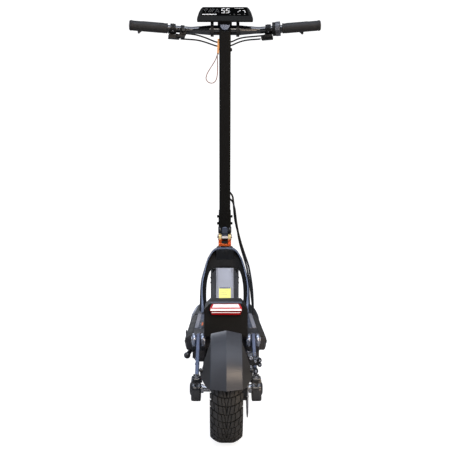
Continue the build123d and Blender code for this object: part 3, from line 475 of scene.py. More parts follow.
for word, axle in (("rear", rear_axle), ("front", front_axle)):
    bm = bmesh.new()
    middle = axle * 1000
    turned(bm, middle, carcass + [(-v, r) for v, r in reversed(carcass)], 120)
    bmesh.ops.delete(bm, geom=[f for f in bm.faces if len(f.verts) > 4], context="FACES_ONLY")
    for row in range(tyre_rows):
        for block in block_rows[row % 2]:
            if block[1][0] == 0:
                # The wedge on the centre line is its own mirror.
                wedge = [block[0], (-block[0][0], 0.05), (-block[3][0], block[3][1]), block[3]]
                tread_block(bm, middle, row, wedge)
                continue
            tread_block(bm, middle, row, block)
            tread_block(bm, middle, row, [(-v, share) for v, share in reversed(block)])
    piece(word + "_tread", bm, tread_rubber, word + "_wheel", "tyre_rubber", word + "_tyre", sharp=28)

# --- Wheels -------------------------------------------------------------------------------------
# Cast aluminium hub motor with a painted rim and a bolted side cover each side, and a laser-cut
# stainless brake disc on six screws. The motor is the hub, so nothing turns inside it but its axle.

# Painted casting: black with a low gloss, paler grey along its ribs and rims, partly rubbed metal and
# partly a painted edge highlight.
cast_black = surface(
    "painted_cast_aluminium", "1a1b1e", 0.34, grain=0.2, grit=1.2, mottle=0.12, edge=0.6, wear_and_highlight="6d7078",
    Coat_Weight=0.2,
)
# Ground stainless: clean bright grey. Zinc plate: bright too, but patchy from screw to screw.
ground_steel = surface("ground_stainless_steel", "a9abaf", 0.3, metal=1.0, grain=0.15, grit=0.4, edge=0.25)
screw_steel = surface(
    "zinc_plated_screw", "9ea0a6", 0.32, metal=1.0, grain=0.1, grit=0.3, mottle=0.2, edge=0.3
)

rim_profile = [
    (-28.8, 78.4), (-28.8, 74), (-24, 71), (-22.5, 66), (-22, 46), (-24, 43), (-26.5, 40), (-27, 24),
    (-31.5, 21), (-31.8, 8.4),
]
cover_ribs = 9
disc_half = 1.1
disc_outer, disc_inner, disc_wave = 67.8, 53.5, 1.2
disc_steps = 144
disc_arms = 6


def cap_screw(bm, centre, axis, radius=4.0, height=4.0):
    """Socket cap screw head standing on a point, with its hexagon hole."""
    axis = Vector(axis).normalized()
    side = axis.orthogonal().normalized()
    up = axis.cross(side)
    rings = []
    for along, r, hexagon in (
        (0, radius, False), (height * 0.85, radius, False), (height, radius * 0.88, False),
        (height, radius * 0.55, True), (height * 0.45, radius * 0.5, True),
    ):
        ring = []
        for k in range(24):
            turn = tau * k / 24
            reach = r * cos(pi / 6) / cos((turn % (pi / 3)) - pi / 6) if hexagon else r
            ring.append(Vector(centre) + axis * along + reach * (side * cos(turn) + up * sin(turn)))
        rings.append(ring)
    skin(bm, rings, ends=True)


for word, axle, disc_side in (("rear", rear_axle, 1), ("front", front_axle, -1)):
    middle = axle * 1000
    low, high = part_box(word + "_disc")
    disc_x = (low.x + high.x) * 500 - middle.x
    bm = bmesh.new()
    turned(bm, middle, rim_profile + [(-x, r) for x, r in reversed(rim_profile)], 96)
    for side in (-1, 1):
        for k in range(cover_ribs):
            # Cooling ribs on the side cover, and its screws between them.
            turn = tau * k / cover_ribs
            out = Vector((0, -sin(turn), cos(turn)))
            across = Vector((0, cos(turn), sin(turn)))
            rings = []
            for r, wide, tall in ((46, 3.2, 0.4), (50, 3.0, 3.4), (60, 2.4, 3.8), (66, 2.0, 0.6)):
                base = middle + out * r + Vector((side * 21.8, 0, 0))
                proud = Vector((side * tall, 0, 0))
                rings.append([
                    base - across * wide, base - across * wide * 0.6 + proud,
                    base + across * wide * 0.6 + proud, base + across * wide,
                ])
            skin(bm, rings, ends=True)
            screw_at = round_axle(middle, side * 26.2, 34, turn + tau / (2 * cover_ribs))
            cap_screw(bm, screw_at, (side, 0, 0), 2.6, 2.4)
    seat_x = disc_x - disc_side * disc_half
    turned(bm, middle, [(disc_side * 26, 28), (seat_x, 28), (seat_x, 21.5), (disc_side * 26, 21.5)], 48)
    piece(word + "_hub", bm, cast_black, word + "_wheel", "silver", word + "_hub_motor")

    # Disc: a wave-edged ring, six curved arms and a bolt circle.
    bm = bmesh.new()
    rings = []
    for x, edges in ((-disc_half, (disc_outer, disc_inner)), (disc_half, (disc_inner, disc_outer))):
        for edge in edges:
            ring = []
            for k in range(disc_steps):
                turn = tau * k / disc_steps
                wave = disc_wave * max(0.0, cos(12 * turn)) ** 2
                ring.append(round_axle(middle, disc_x + x, edge - wave, turn))
            rings.append(ring)
    skin(bm, rings, wrap=True)
    rings = []
    for x, r in ((-disc_half, 22.2), (-disc_half, 30.5), (disc_half, 30.5), (disc_half, 22.2)):
        rings.append([round_axle(middle, disc_x + x, r, tau * k / 60) for k in range(60)])
    skin(bm, rings, wrap=True)
    for k in range(disc_arms):
        rings = []
        for step in range(7):
            share = step / 6
            turn = tau * k / disc_arms + 0.5 * share
            r = 29 + 26 * share
            wide = (4.6 - 3.2 * share * (1 - share) * 2) / r
            rings.append([
                round_axle(middle, disc_x + x, r, turn + w)
                for x, w in ((-disc_half, -wide), (-disc_half, wide), (disc_half, wide), (disc_half, -wide))
            ])
        skin(bm, rings, ends=True)
        # The front disc's screws are flush, to clear the stays of its fender.
        proud = 2.2 if word == "rear" else 0.3
        place = round_axle(middle, disc_x + disc_side * disc_half, 26, tau * k / disc_arms)
        cap_screw(bm, place, (disc_side, 0, 0), 3.2, proud)
    piece(word + "_brake_disc", bm, ground_steel, word + "_wheel", "steel", word + "_disc", sharp=25)

# --- Fenders ------------------------------------------------------------------------------------
# Injection-moulded ABS with a satin skin: a gabled band over the tread, a fold down each side, and
# thin flared skirts. A stay each side is screwed to the swing arm.

# Satin ABS: a broad soft highlight over a blue-grey band.
satin_abs = surface(
    "moulded_abs_satin", "34373d", 0.38, grain=0.06, grit=0.9, mottle=0.04, edge=0.6,
    Specular_IOR_Level=0.45
)
# Textured ABS: the skirts are a duller, darker grey than the band.
skirt_abs = surface("moulded_abs_fine_texture", "282828", 0.5, grain=0.4, grit=0.7, mottle=0.08, edge=0.6)

band_half = 37
gable = [
    (0, 148.0), (18, 144.0), (35.6, 140.0), (37, 138.6), (37, 136.4), (34, 136.2), (18, 140.6), (0, 145.0),
]
gable += [(-x, r) for x, r in reversed(gable[1:-1])]


def fender(name, body, axle, band_turns, skirt_turns):
    """Gabled band and flared skirts round an axle; turns are back from the top, in degrees."""
    middle = axle * 1000
    bm = bmesh.new()
    first, last = band_turns
    rings = []
    for step in range(37):
        turn = first + (last - first) * step / 36
        # The band's end droops in the middle.
        droop = [1.7 * (1 - abs(x) / band_half) * (step / 36) ** 6 for x, _ in gable]
        rings.append([round_axle(middle, x, r, radians(turn + sag)) for (x, r), sag in zip(gable, droop)])
    skin(bm, rings, ends=True)
    piece(name + "_band", bm, satin_abs, body, "black_plastic", name, sharp=14)

    bm = bmesh.new()
    start, tip, end = skirt_turns
    for side in (-1, 1):
        rings = []
        for step in range(33):
            turn = start + (end - start) * step / 32
            if (turn - tip) * (end - start) < 0:
                share = (turn - start) / (tip - start)
            else:
                share = max(0.0, (end - turn) / (end - tip)) ** 0.6
            share = max(0.03, share) ** 0.8
            flare, drop = 37 + 23.5 * share, 138.0 - 34.0 * share
            rings.append([
                round_axle(middle, side * x, r, radians(turn)) for x, r in (
                    (36.6, 138.4), (flare * 0.5 + 18.6, (drop + 139.2) / 2), (flare, drop),
                    (flare - 2.6, drop - 0.4), (flare * 0.5 + 15.6, (drop + 137.0) / 2), (34, 136.4),
                )
            ])
        skin(bm, rings, ends=True)
    piece(name + "_skirts", bm, skirt_abs, body, "black_plastic", sharp=24)


fender("rear_fender", "rear_suspension", rear_axle, (12, 78.8), (29, 61, 79))
fender("front_fender", "front_suspension", front_axle, (-70, 8), (-70, -45, -14))

# Stays: pressed steel straps from the arm's pod to the skirt's corner, with a rubber-washered screw.
# Foot and top are (y, z) from the axle; the washer starts inside the skirt at reach.
for word, axle, foot, top, reach, inner, outer in (
    ("rear", rear_axle, (-12, 22), (-93, 62), 53.5, 57.6, 60.9),
    ("front", front_axle, (8, 24), (60, 112), 44.5, 47.5, 49.9),
):
    bm = bmesh.new()
    middle = axle * 1000
    run = Vector((0, top[0] - foot[0], top[1] - foot[1])).normalized()
    across = Vector((0, -run.z, run.y))
    for side in (-1, 1):
        rings = []
        for x in (inner, outer):
            ring = []
            for k in range(24):
                turn = tau * k / 24
                end = Vector((0, *(top if k < 12 else foot)))
                rim = 5.0 * (across * cos(turn) + run * sin(turn))
                ring.append(middle + Vector((side * x, 0, 0)) + end + rim)
            rings.append(ring)
        skin(bm, rings, ends=True)
        washer = [(side * reach, 3.4), (side * inner, 3.8), (side * outer, 3.8)]
        turned(bm, middle + Vector((0, *top)), washer, 24)
        cap_screw(bm, middle + Vector((side * outer, *top)), (side, 0, 0), 3.4, 1.8)
    piece(word + "_fender_stays", bm, cast_black, word + "_suspension", "black_frame", ease=0.4)

# --- Arch and head tube -------------------------------------------------------------------------
# One forged and welded aluminium arch, powder coated graphite: two deep arms splay down from the
# head tube to the deck and close over the controller. A ridge runs round it, and the web is sunk.

# Powder coat in three shades of one coat. Graphite: dark and slightly metallic, with pale edges, partly
# rubbed and partly a painted edge highlight. The ridge: slate blue, a painted highlight. The sunk web: flat
# black, painted shade.
graphite_coat = surface(
    "graphite_powder_coat", "1d2024", 0.3, metal=0.25, grain=0.18, grit=1.0, mottle=0.08, edge=1.2,
    wear_and_highlight="565d6b", Coat_Weight=0.25,
)
graphite_painted_highlight = surface(
    "graphite_powder_coat_painted_highlight", "4c5568", 0.32, metal=0.35, grain=0.12, grit=1.0, mottle=0.06, edge=1.0
)
graphite_painted_shade = surface(
    "graphite_powder_coat_painted_shade", "060606", 0.6, grain=0.3, grit=1.0, mottle=0.15, edge=1.0,
    Specular_IOR_Level=0.2
)

low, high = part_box("arch_arm_right")
hinge = Vector(joints["fold"]["pos_m"]) * 1000
steer_axis = Vector(joints["steer"]["axis"]).normalized()
steer_forward = Vector((0, steer_axis.z, -steer_axis.y))
deck_top_z = low.z * 1000
rise = hinge.z - deck_top_z


def between(table, share):
    """Reads a value at a share of the height from a table of (share, value), highest share first."""
    for (a, u), (b, v) in zip(table, table[1:]):
        if share >= b:
            return u + (v - u) * min(1.0, max(0.0, (a - share) / (a - b)))
    return table[-1][1]


# How far the rear and the front face lie behind the hinge line, by share of the height.
rear_face = [(0.855, 10), (0.675, 28), (0.459, 60), (0.224, 106), (0.133, 128), (0.0, 144)]
front_face = [
    (0.855, -25), (0.675, -34), (0.616, -10), (0.518, 25), (0.4, 42), (0.224, 78), (0.114, 86), (0.0, 72),
]

# Stations from the crown down one arm: outer edge x and share, inner edge x and share, flank, ridge, sink.
stations = [
    (0, 0.850, 0, 0.585, 0.5, 5.0, 24), (15, 0.850, 15, 0.585, 0.5, 5.0, 24),
    (27, 0.846, 26, 0.582, 0.6, 5.4, 24), (36, 0.830, 32, 0.576, 0.8, 6.0, 24),
    (44.5, 0.800, 38, 0.566, 1.0, 6.4, 23), (52, 0.755, 46, 0.552, 1.5, 6.6, 22),
    (60, 0.700, 52, 0.522, 2.2, 6.8, 20), (66, 0.632, 56.5, 0.476, 3.0, 7.0, 18),
    (71, 0.565, 59.8, 0.420, 3.8, 7.2, 16), (76, 0.500, 62, 0.356, 4.6, 7.4, 14),
    (80, 0.439, 63, 0.290, 5.4, 7.6, 13), (83, 0.350, 63, 0.225, 6.2, 7.8, 12),
    (84, 0.282, 62.6, 0.175, 6.8, 8.0, 12), (84.3, 0.200, 62, 0.130, 7.0, 8.0, 12),
    (84.4, 0.133, 62, 0.085, 7.0, 8.0, 11), (84.8, 0.070, 63, 0.045, 7.2, 8.0, 10),
    (88, 0.0, 65, 0.0, 8.0, 8.0, 8),
]
web_thinnest = 9


def arch_point(x, share, depth):
    """A place on the arch: sideways, up by a share of its height, and back from the hinge line."""
    return Vector((x, hinge.y - depth, deck_top_z + share * rise))


bm = bmesh.new()
rings = []
for side, row in [(-1, s) for s in stations[:0:-1]] + [(1, s) for s in stations]:
    outer_x, outer_share, inner_x, inner_share, flank, ridge, sink = row
    width = hypot(outer_x - inner_x, (outer_share - inner_share) * rise)
    ring = []
    for way, sunk in (
        (0.0, flank * 1.6 + 1.5), (flank / width, 0.0), ((flank + ridge) / width, 0.0),
        ((flank + ridge + 5) / width, sink * 0.8), (1.0, sink),
    ):
        x = outer_x + (inner_x - outer_x) * way
        share = outer_share + (inner_share - outer_share) * way
        back, front = between(rear_face, share), between(front_face, share)
        ring.append(arch_point(side * x, share, max(front + web_thinnest, back - sunk)))
    middle_x, middle_share = (outer_x + inner_x) / 2, (outer_share + inner_share) / 2
    for x, share, set_back in (
        (inner_x, inner_share, 0), (middle_x, middle_share, 1), (outer_x, outer_share, 4),
    ):
        ring.append(arch_point(side * x, share, between(front_face, share) + set_back))
    rings.append(ring)
skin(bm, rings, ends=True)
arch = piece("arch", bm, graphite_coat, "deck", "black_frame", "arch_arm_left", "arch_arm_right", sharp=28)
arch.data.materials.append(graphite_painted_highlight)
arch.data.materials.append(graphite_painted_shade)
# Across each ring: outer flank graphite, the ridge its painted highlight, the sunk web and inner edge
# painted shade, the front graphite.
finish_across = (0, 1, 2, 2, 2, 0, 0, 0)
for face in arch.data.polygons:
    if len(face.vertices) == 4:
        face.material_index = finish_across[face.index % 8]

# Feet: a pad under each arm with two cap screws into the deck.
bm = bmesh.new()
for side in (-1, 1):
    for y in (118, 92):
        cap_screw(bm, Vector((side * 92, hinge.y - y, deck_top_z + 1.0)), (0, 0, 1), 4.0, 4.0)
piece("arch_foot_screws", bm, screw_steel, "deck", "steel")


def dress(material, *names):
    """Gives a piece that comes over from the CAD its finish."""
    for name in names:
        for holder in nodes[name].material_slots:
            holder.material = material


dress(graphite_coat, "neck", "fork_steerer")
dress(ground_steel, "headset_bearings")

# --- Controller ---------------------------------------------------------------------------------
# Extruded aluminium case, silver anodised, between two black end covers; it leans on the kickplate
# inside the arch. A blank yellow sticker with a plain blue head line is on its rear face.

# Silver anodising: an even satin grey with no glint. Charcoal ABS: a soft black beside it.
silver_anodised = surface(
    "silver_anodised_aluminium", "7f8085", 0.38, metal=0.35, grain=0.1, grit=0.5, mottle=0.03, edge=0.6
)
cover_abs = surface(
    "moulded_abs_charcoal", "17181a", 0.5, grain=0.3, grit=0.8, mottle=0.06, edge=0.8,
    Specular_IOR_Level=0.35
)
# Coated label stock: flat pale yellow, and its ink a dull blue.
label_paper = surface("coated_label_yellow", "f0ee80", 0.45, grain=0.05, grit=0.5, mottle=0.02, edge=0.05)
label_ink = surface("label_ink_blue", "3f4470", 0.5, grain=0.05, grit=0.5, mottle=0.02, edge=0.05)

case_lean = radians(33)
lean = Vector((0, sin(case_lean), cos(case_lean)))
facing = Vector((0, -cos(case_lean), sin(case_lean)))
case_middle = Vector((0, hinge.y - 97, 308))
right, forward, upward = Vector((1, 0, 0)), Vector((0, 1, 0)), Vector((0, 0, 1))


def slab(bm, centre, right, up, out, outline, near, far, shrink=0.8):
    """A plate: an outline of (right, up) points in mm, from near to far along out, its far edge eased."""
    mid_u = sum(u for u, _ in outline) / len(outline)
    mid_v = sum(v for _, v in outline) / len(outline)
    rings = []
    for w, cut in ((near, 0.0), (far - shrink, 0.0), (far, shrink)):
        ring = []
        for u, v in outline:
            away = hypot(u - mid_u, v - mid_v) or 1
            u, v = u - (u - mid_u) / away * cut, v - (v - mid_v) / away * cut
            ring.append(Vector(centre) + right * u + up * v + out * w)
        rings.append(ring)
    return skin(bm, rings, ends=True)


def rectangle(left, right, low, high):
    """Outline of a rectangle, for a slab."""
    return [(left, low), (right, low), (right, high), (left, high)]


def along_x(bm, y, z, outline, near, far, shrink=1.2):
    """A slab standing on edge: outline in (y, z) about a place, from near to far along X."""
    return slab(bm, Vector((0, y, z)), forward, upward, right, outline, near, far, shrink)


bm = bmesh.new()
rings = []
for along in (-79, 70.5):
    # The case has a shallow groove by each edge of its face.
    section = [(-30, -17), (30, -17), (30, 11)]
    section += [(30, 15.5), (28.5, 17), (25.2, 17), (24.8, 16.2), (24.0, 16.2), (23.6, 17)]
    section += [(-x, w) for x, w in reversed(section[3:])] + [(-30, 11)]
    rings.append([case_middle + lean * along + right * x + facing * w for x, w in section])
skin(bm, rings, ends=True)
piece("controller_case", bm, silver_anodised, "deck", "silver", "controller", sharp=20)
bm = bmesh.new()
for side in (-1, 1):
    cover = [(30.2, -83), (45, -83), (45, 46), (37, 57), (33, 66), (30.2, 67)]
    slab(bm, case_middle, right * side, lean, facing, cover, -17.6, 16.4, 1.4)
    for along in (-66, 38):
        cap_screw(bm, case_middle + right * side * 38 + lean * along + facing * 16, facing, 2.6, 1.2)
# A wedge foot carries the case's lower end on the deck.
along_x(bm, hinge.y - 142, deck_top_z, [(-13.6, 0.2), (14, 0.4), (14, 3), (-13.6, 19)], -40, 40, 1.0)
piece("controller_covers", bm, cover_abs, "deck", "black_plastic", sharp=24)
bm = bmesh.new()
slab(bm, case_middle, right, lean, facing, rectangle(-19.8, 19.4, -66, -4.5), 16.9, 17.15, 0.1)
piece("controller_label", bm, label_paper, "deck", "silver", sharp=20)
bm = bmesh.new()
slab(bm, case_middle, right, lean, facing, rectangle(-18.8, 18.4, -9, -4.7), 17.1, 17.25, 0.05)
for v, end in ((-18, 11), (-25, 4), (-32, 8)):
    slab(bm, case_middle, right, lean, facing, rectangle(-15, end, v, v + 0.5), 17.1, 17.2, 0.02)
piece("controller_label_rules", bm, label_ink, "deck", "silver", sharp=20)

# --- Kickplate ----------------------------------------------------------------------------------
# Moulded ABS hood over the back of the deck, fine textured, folded at its corners. A bead runs across its
# top, painted blue-grey as a highlight, and a short slit each side drains it.

# Textured ABS: the deepest black of the part. The bead: blue-grey, a painted highlight of a line of sky.
hood_abs = surface(
    "moulded_abs_hood", "0f0f0e", 0.55, grain=0.45, grit=0.8, mottle=0.08, edge=1.4, Specular_IOR_Level=0.2
)
bead_painted_highlight = surface(
    "moulded_abs_bead_painted_highlight", "5a6478", 0.3, grain=0.05, grit=0.8, mottle=0.05, edge=0.8, Coat_Weight=0.3
)
# Openings too shallow to cut read as holes in this flat black.
shadow_black = surface("unlit_cavity_black", "060606", 0.8, grain=0.05, grit=0.8, mottle=0.1, edge=0.3)

dress(hood_abs, "kickplate")
low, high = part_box("kickplate")
hood_back, hood_top = low.y * 1000, high.z * 1000
backward = Vector((0, -1, 0))


def level(bm, x, y, z, outline, near, far, shrink=0.8):
    """A slab lying flat: outline in (x, y) about a place, from near to far upwards."""
    return slab(bm, Vector((x, y, z)), right, forward, upward, outline, near, far, shrink)


bm = bmesh.new()
level(bm, 0, hood_back, hood_top, rectangle(-42, 42, 29, 48), -0.5, 1.2)
piece("kickplate_bead", bm, bead_painted_highlight, "deck", "black_plastic", sharp=24)
bm = bmesh.new()
for side in (-1, 1):
    slit = [(-4.4, -2.6), (-3.6, -3.4), (4.6, 2.6), (4.0, 3.4)]
    slab(bm, Vector((side * 46.2, hood_back, 275)), right * side, upward, backward, slit, -0.3, 0.25, 0.1)
piece("kickplate_slits", bm, shadow_black, "deck", "black_plastic")

# --- Tail light ---------------------------------------------------------------------------------
# One injection-moulded polycarbonate lens: clear prism bands between red ones, stacked and folded
# back at the top, on the kickplate's rear face.

# Polycarbonate with a wet gloss: bright red, a deeper red for the lower band, and a milky white
# where the clear prisms send the light back.
red_lens = surface(
    "red_polycarbonate_lens", "b80c16", 0.12, grain=0.05, grit=2.0, mottle=0.05, edge=0.5, Coat_Weight=0.6,
    Specular_IOR_Level=0.6,
)
deep_red = surface(
    "red_polycarbonate_deep", "8a060a", 0.15, grain=0.05, grit=2.0, mottle=0.05, edge=0.4, Coat_Weight=0.6
)
clear_lens = surface(
    "clear_prism_lens", "f4f2f3", 0.14, grain=0.2, grit=3.0, mottle=0.02, edge=0.4, Coat_Weight=0.5
)

# Bands from the top: height, how far behind the hood, half width of the flat and of the whole, and
# the finish below each.
red, clear, deep = 0, 1, 2
bands = [
    (hood_top + 0.6, 1.0, 31.4, 34.0, red), (318.8, 2.4, 31.8, 35.6, clear), (311.4, 15.0, 35.4, 40.6, red),
    (308.4, 16.4, 38.6, 41.2, clear), (303.6, 18.0, 40.4, 41.8, red), (303.2, 17.6, 39.8, 41.4, deep),
    (299.6, 15.0, 36.4, 39.6, clear), (297.6, 15.4, 36.4, 38.8, red), (292.6, 12.6, 35.6, 37.0, red),
    (292.2, 1.0, 35.0, 36.6, red),
]
bm = bmesh.new()
rings = []
for z, out, flat, half, _ in bands:
    rim_out = max(0.6, out - 3.2)
    section = [
        (-half, 0.2), (-half + 0.4, rim_out), (-flat, out), (flat, out), (half - 0.4, rim_out), (half, 0.2),
    ]
    rings.append([Vector((x, hood_back - o, z)) for x, o in section])
skin(bm, rings, ends=True)
lamp = piece("tail_lamp", bm, red_lens, "deck", "red_lens", "tail_light", sharp=20)
lamp.data.materials.append(clear_lens)
lamp.data.materials.append(deep_red)
for face in lamp.data.polygons:
    row, spot = divmod(face.index, 6)
    if row < len(bands) - 1 and spot == 2:
        face.material_index = bands[row][4]

# --- Deck ---------------------------------------------------------------------------------------
# Die-cast aluminium tub with a bolted lid. A rubber mat with a raised grain covers the lid, with a
# pale grip strip down each edge; the tub's nose turns up round the feet of the arch.

# Satin powder coat: charcoal, with its edges paler, partly rubbed by shoes and partly a painted edge
# highlight.
deck_coat = surface(
    "black_powder_coat_satin", "26262a", 0.42, grain=0.3, grit=1.2, mottle=0.1, edge=1.2, wear_and_highlight="5b5f68"
)
# Mat rubber: flat dark grey that shows dust. Grip strip: pale grey and gritty.
mat_rubber = surface(
    "grained_mat_rubber", "2b2b29", 0.68, grain=0.8, grit=1.6, mottle=0.14, edge=0.5,
    Specular_IOR_Level=0.35
)
pale_grip = surface(
    "grip_strip_grey", "85868d", 0.7, grain=0.9, grit=1.0, mottle=0.1, edge=0.3, Specular_IOR_Level=0.3
)
# Coated panel: a slate line between mat and strip. Reflective film: one clean orange fleck.
panel_blue = surface("coated_panel_slate", "3a4050", 0.4, grain=0.3, grit=1.0, mottle=0.06, edge=0.5)
orange_film = surface("orange_reflective_film", "ff7d22", 0.35, grain=0.3, grit=0.8, mottle=0.03, edge=0.1)

dress(deck_coat, "deck_tub", "deck_lid")
mat_low, mat_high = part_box("grip_mat")
mat_back, mat_front = mat_low.y * 1000, mat_high.y * 1000
tub_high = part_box("deck_tub")[1]
tub_front, tub_half = tub_high.y * 1000, tub_high.x * 1000

# The mat: a sheet with raised diamonds in staggered rows.
diamond = [(-5, 0), (0, -2.2), (5, 0), (0, 2.2)]
diamond_row, diamond_step = 7.0, 13
bm = bmesh.new()
level(bm, 0, 0, deck_top_z, rectangle(-66, 66, mat_back, mat_front - 20), 0.0, 1.8)
y = mat_back + 6
row = 0
while y <= mat_front - 26:
    odd = row % 2
    for column in range(10 - odd):
        x = -58.5 + diamond_step * column + odd * diamond_step / 2
        level(bm, x, y, deck_top_z + 1.6, diamond, 0.0, 1.2, 0.9)
    row += 1
    y = mat_back + 6 + diamond_row * row
piece("deck_mat", bm, mat_rubber, "deck", "rubber", "grip_mat", sharp=30)

strip_pitch, strip_length = 69, 67.6
bm = bmesh.new()
for side in (-1, 1):
    for n in range(5):
        start = mat_back + 4 + n * strip_pitch
        level(bm, side * 82.5, start, deck_top_z, rectangle(-5.5, 5.5, 0, strip_length), 0.0, 2.2, 0.6)
piece("deck_grip_strips", bm, pale_grip, "deck", "rubber", sharp=30)
bm = bmesh.new()
for side in (-1, 1):
    level(bm, side * 71.3, 0, deck_top_z, rectangle(-5, 5, mat_back, mat_front), 0.0, 1.5, 0.5)
piece("deck_side_panels", bm, panel_blue, "deck", "black_frame", sharp=30)
bm = bmesh.new()
level(bm, -66.6, -60, deck_top_z, rectangle(-3.6, 3.4, -34, 34), 1.5, 1.75, 0.1)
piece("deck_orange_flash", bm, orange_film, "deck", "black_frame", sharp=30)

# Rubber flanks outside the strips, down over the tub's shoulder.
flank_back, flank_front = -292, 196
bm = bmesh.new()
for side in (-1, 1):
    rings = []
    for y in (flank_back, flank_back + 4, 60, 130, flank_front):
        ease = 1.5 if y in (flank_back, flank_front) else 0.0
        rings.append([
            Vector((side * x, y, z)) for x, z in (
                (89.5, deck_top_z - 1.0), (89.5, deck_top_z + 1.4 - ease),
                (99 - ease, deck_top_z + 0.6 - ease), (106 - ease, deck_top_z - 4 - ease),
                (tub_half - 0.4, deck_top_z - 13), (tub_half - 2, deck_top_z - 20),
            )
        ])
    skin(bm, rings, ends=True)
piece("deck_flanks", bm, mat_rubber, "deck", "rubber", sharp=40)

# Upturned nose round the feet of the arch, its left rim painted slate blue as a highlight. Each station
# from the back: y, the outer wall's x, the rim's x and height over the deck, and the inner wall's x.
nose_stations = [
    (92, 110, 108.6, -8, 107.4), (150, 110, 106.8, -4, 104), (196, 110, 104, 1.0, 97),
    (209, 109, 101, 4.0, 66), (240, 104, 95, 13.0, 62), (270, 97, 88.5, 22.0, 62),
    (tub_front - 1, 93, 85, 25.0, 62),
]
nose_root = deck_top_z - 14
bm = bmesh.new()
for side in (-1, 1):
    rings = []
    for y, outer, rim, top, inner in nose_stations:
        rings.append([
            Vector((side * x, y, z)) for x, z in (
                (outer, nose_root), (outer, deck_top_z + top - 5), (rim, deck_top_z + top),
                (inner, deck_top_z + top + 0.6), (inner, nose_root),
            )
        ])
    skin(bm, rings, ends=True)
wall_faces = len(bm.faces)
level(bm, 0, 0, deck_top_z, rectangle(-64, 64, 243.5, tub_front - 1), -4, 0, 1.0)
nose = piece("deck_nose", bm, graphite_coat, "deck", "black_frame", sharp=24)
nose.data.materials.append(graphite_painted_highlight)
for face in nose.data.polygons:
    if len(face.vertices) == 4 and face.index % 5 == 1 and face.index < wall_faces:
        face.material_index = 1

# Charge socket with its tethered rubber cap, the sealed battery, and the lid's countersunk screws.
dress(cover_abs, "charge_port")
# Plug rubber: dull dark grey. Shrink film: a glossy blue skin over the cells.
plug_rubber = surface("moulded_plug_rubber", "222222", 0.65, grain=0.3, grit=1.0, mottle=0.1, edge=0.8)
shrink_film = surface(
    "battery_shrink_film_blue", "28406e", 0.3, grain=0.15, grit=2.0, mottle=0.06, edge=1.5
)
dress(plug_rubber, "charge_cap")
dress(shrink_film, "battery_pack")
bm = bmesh.new()
for side in (-1, 1):
    for n in range(6):
        head = [(0.0, 3.6), (0.7, 3.6), (0.9, 3.2), (0.9, 1.9), (0.2, 1.6)]
        turned(bm, Vector((side * 70.5, -250 + n * 100, deck_top_z + 1.0)), head, 20, upward)
piece("deck_lid_screws", bm, screw_steel, "deck", "steel", sharp=30)

# --- Kickstand ----------------------------------------------------------------------------------
# Forged aluminium leg with a ball foot, hung on a plain bolt in a pressed steel bracket under the
# deck's left edge.

# Zinc plate on pressed steel: dull silver with cloudy patches.
zinc_steel = surface(
    "zinc_plated_steel", "8f9196", 0.36, metal=1.0, grain=0.15, grit=0.6, mottle=0.15, edge=0.5
)
dress(zinc_steel, "kickstand_bracket")
dress(cast_black, "kickstand_leg")

# --- Rear suspension ----------------------------------------------------------------------------
# Two forged aluminium swing arms on rubber bushes, between clevis ears bolted to the back of the
# tub. Each arm ends in a split pod clamped on the motor's axle.

# Blasted aluminium: pale satin silver that takes the colour of the room. Arm coat: blue-grey, a painted
# reflection of the sky, with a clear sheen. Forged black: broad soft highlights, and silver at its edges,
# partly rubbed and partly a painted edge highlight.
satin_silver = surface(
    "satin_blasted_aluminium", "9aa2b2", 0.24, metal=0.7, grain=0.12, grit=0.6, mottle=0.06, edge=1.2
)
arm_painted_sky_reflection = surface(
    "arm_coat_painted_sky_reflection", "66708a", 0.3, metal=0.4, grain=0.1, grit=1.0, mottle=0.05, edge=1.0,
    Coat_Weight=0.3
)
forged_black = surface(
    "forged_black_satin", "333436", 0.2, metal=0.35, grain=0.12, grit=1.0, mottle=0.08, edge=1.6,
    wear_and_highlight="8d9098", Coat_Weight=0.25,
)

rear_pivot = Vector(joints["rear_suspension_pivot"]["pos_m"]) * 1000
pivot_middle = Vector((0, rear_pivot.y, rear_pivot.z))
arm_low, arm_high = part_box("rear_arm_right")
pod_in, pod_out = arm_low.x * 1000, arm_high.x * 1000


def strap(bm, x_faces, ends, ease, side=1):
    """A plate along X round two (y, z, radius) ends, its rims eased."""
    half_turn = 20
    (y0, z0, _), (y1, z1, _) = ends
    run = Vector((y1 - y0, z1 - z0)).normalized()
    near, far = x_faces
    rings = []
    for x, cut in ((near, ease), (near + ease, 0.0), (far - ease, 0.0), (far, ease)):
        ring = []
        for k in range(2 * half_turn):
            y, z, r = ends[k // half_turn]
            turn = pi / 2 + pi * (k - k // half_turn) / (half_turn - 1)
            back = run.x * cos(turn) - run.y * sin(turn)
            up = run.y * cos(turn) + run.x * sin(turn)
            ring.append(Vector((side * x, y + (r - cut) * back, z + (r - cut) * up)))
        rings.append(ring)
    return skin(bm, rings, ends=True)


def sided(side, profile):
    """A lathe profile turned to the left or the right."""
    return [(side * x, r) for x, r in profile]


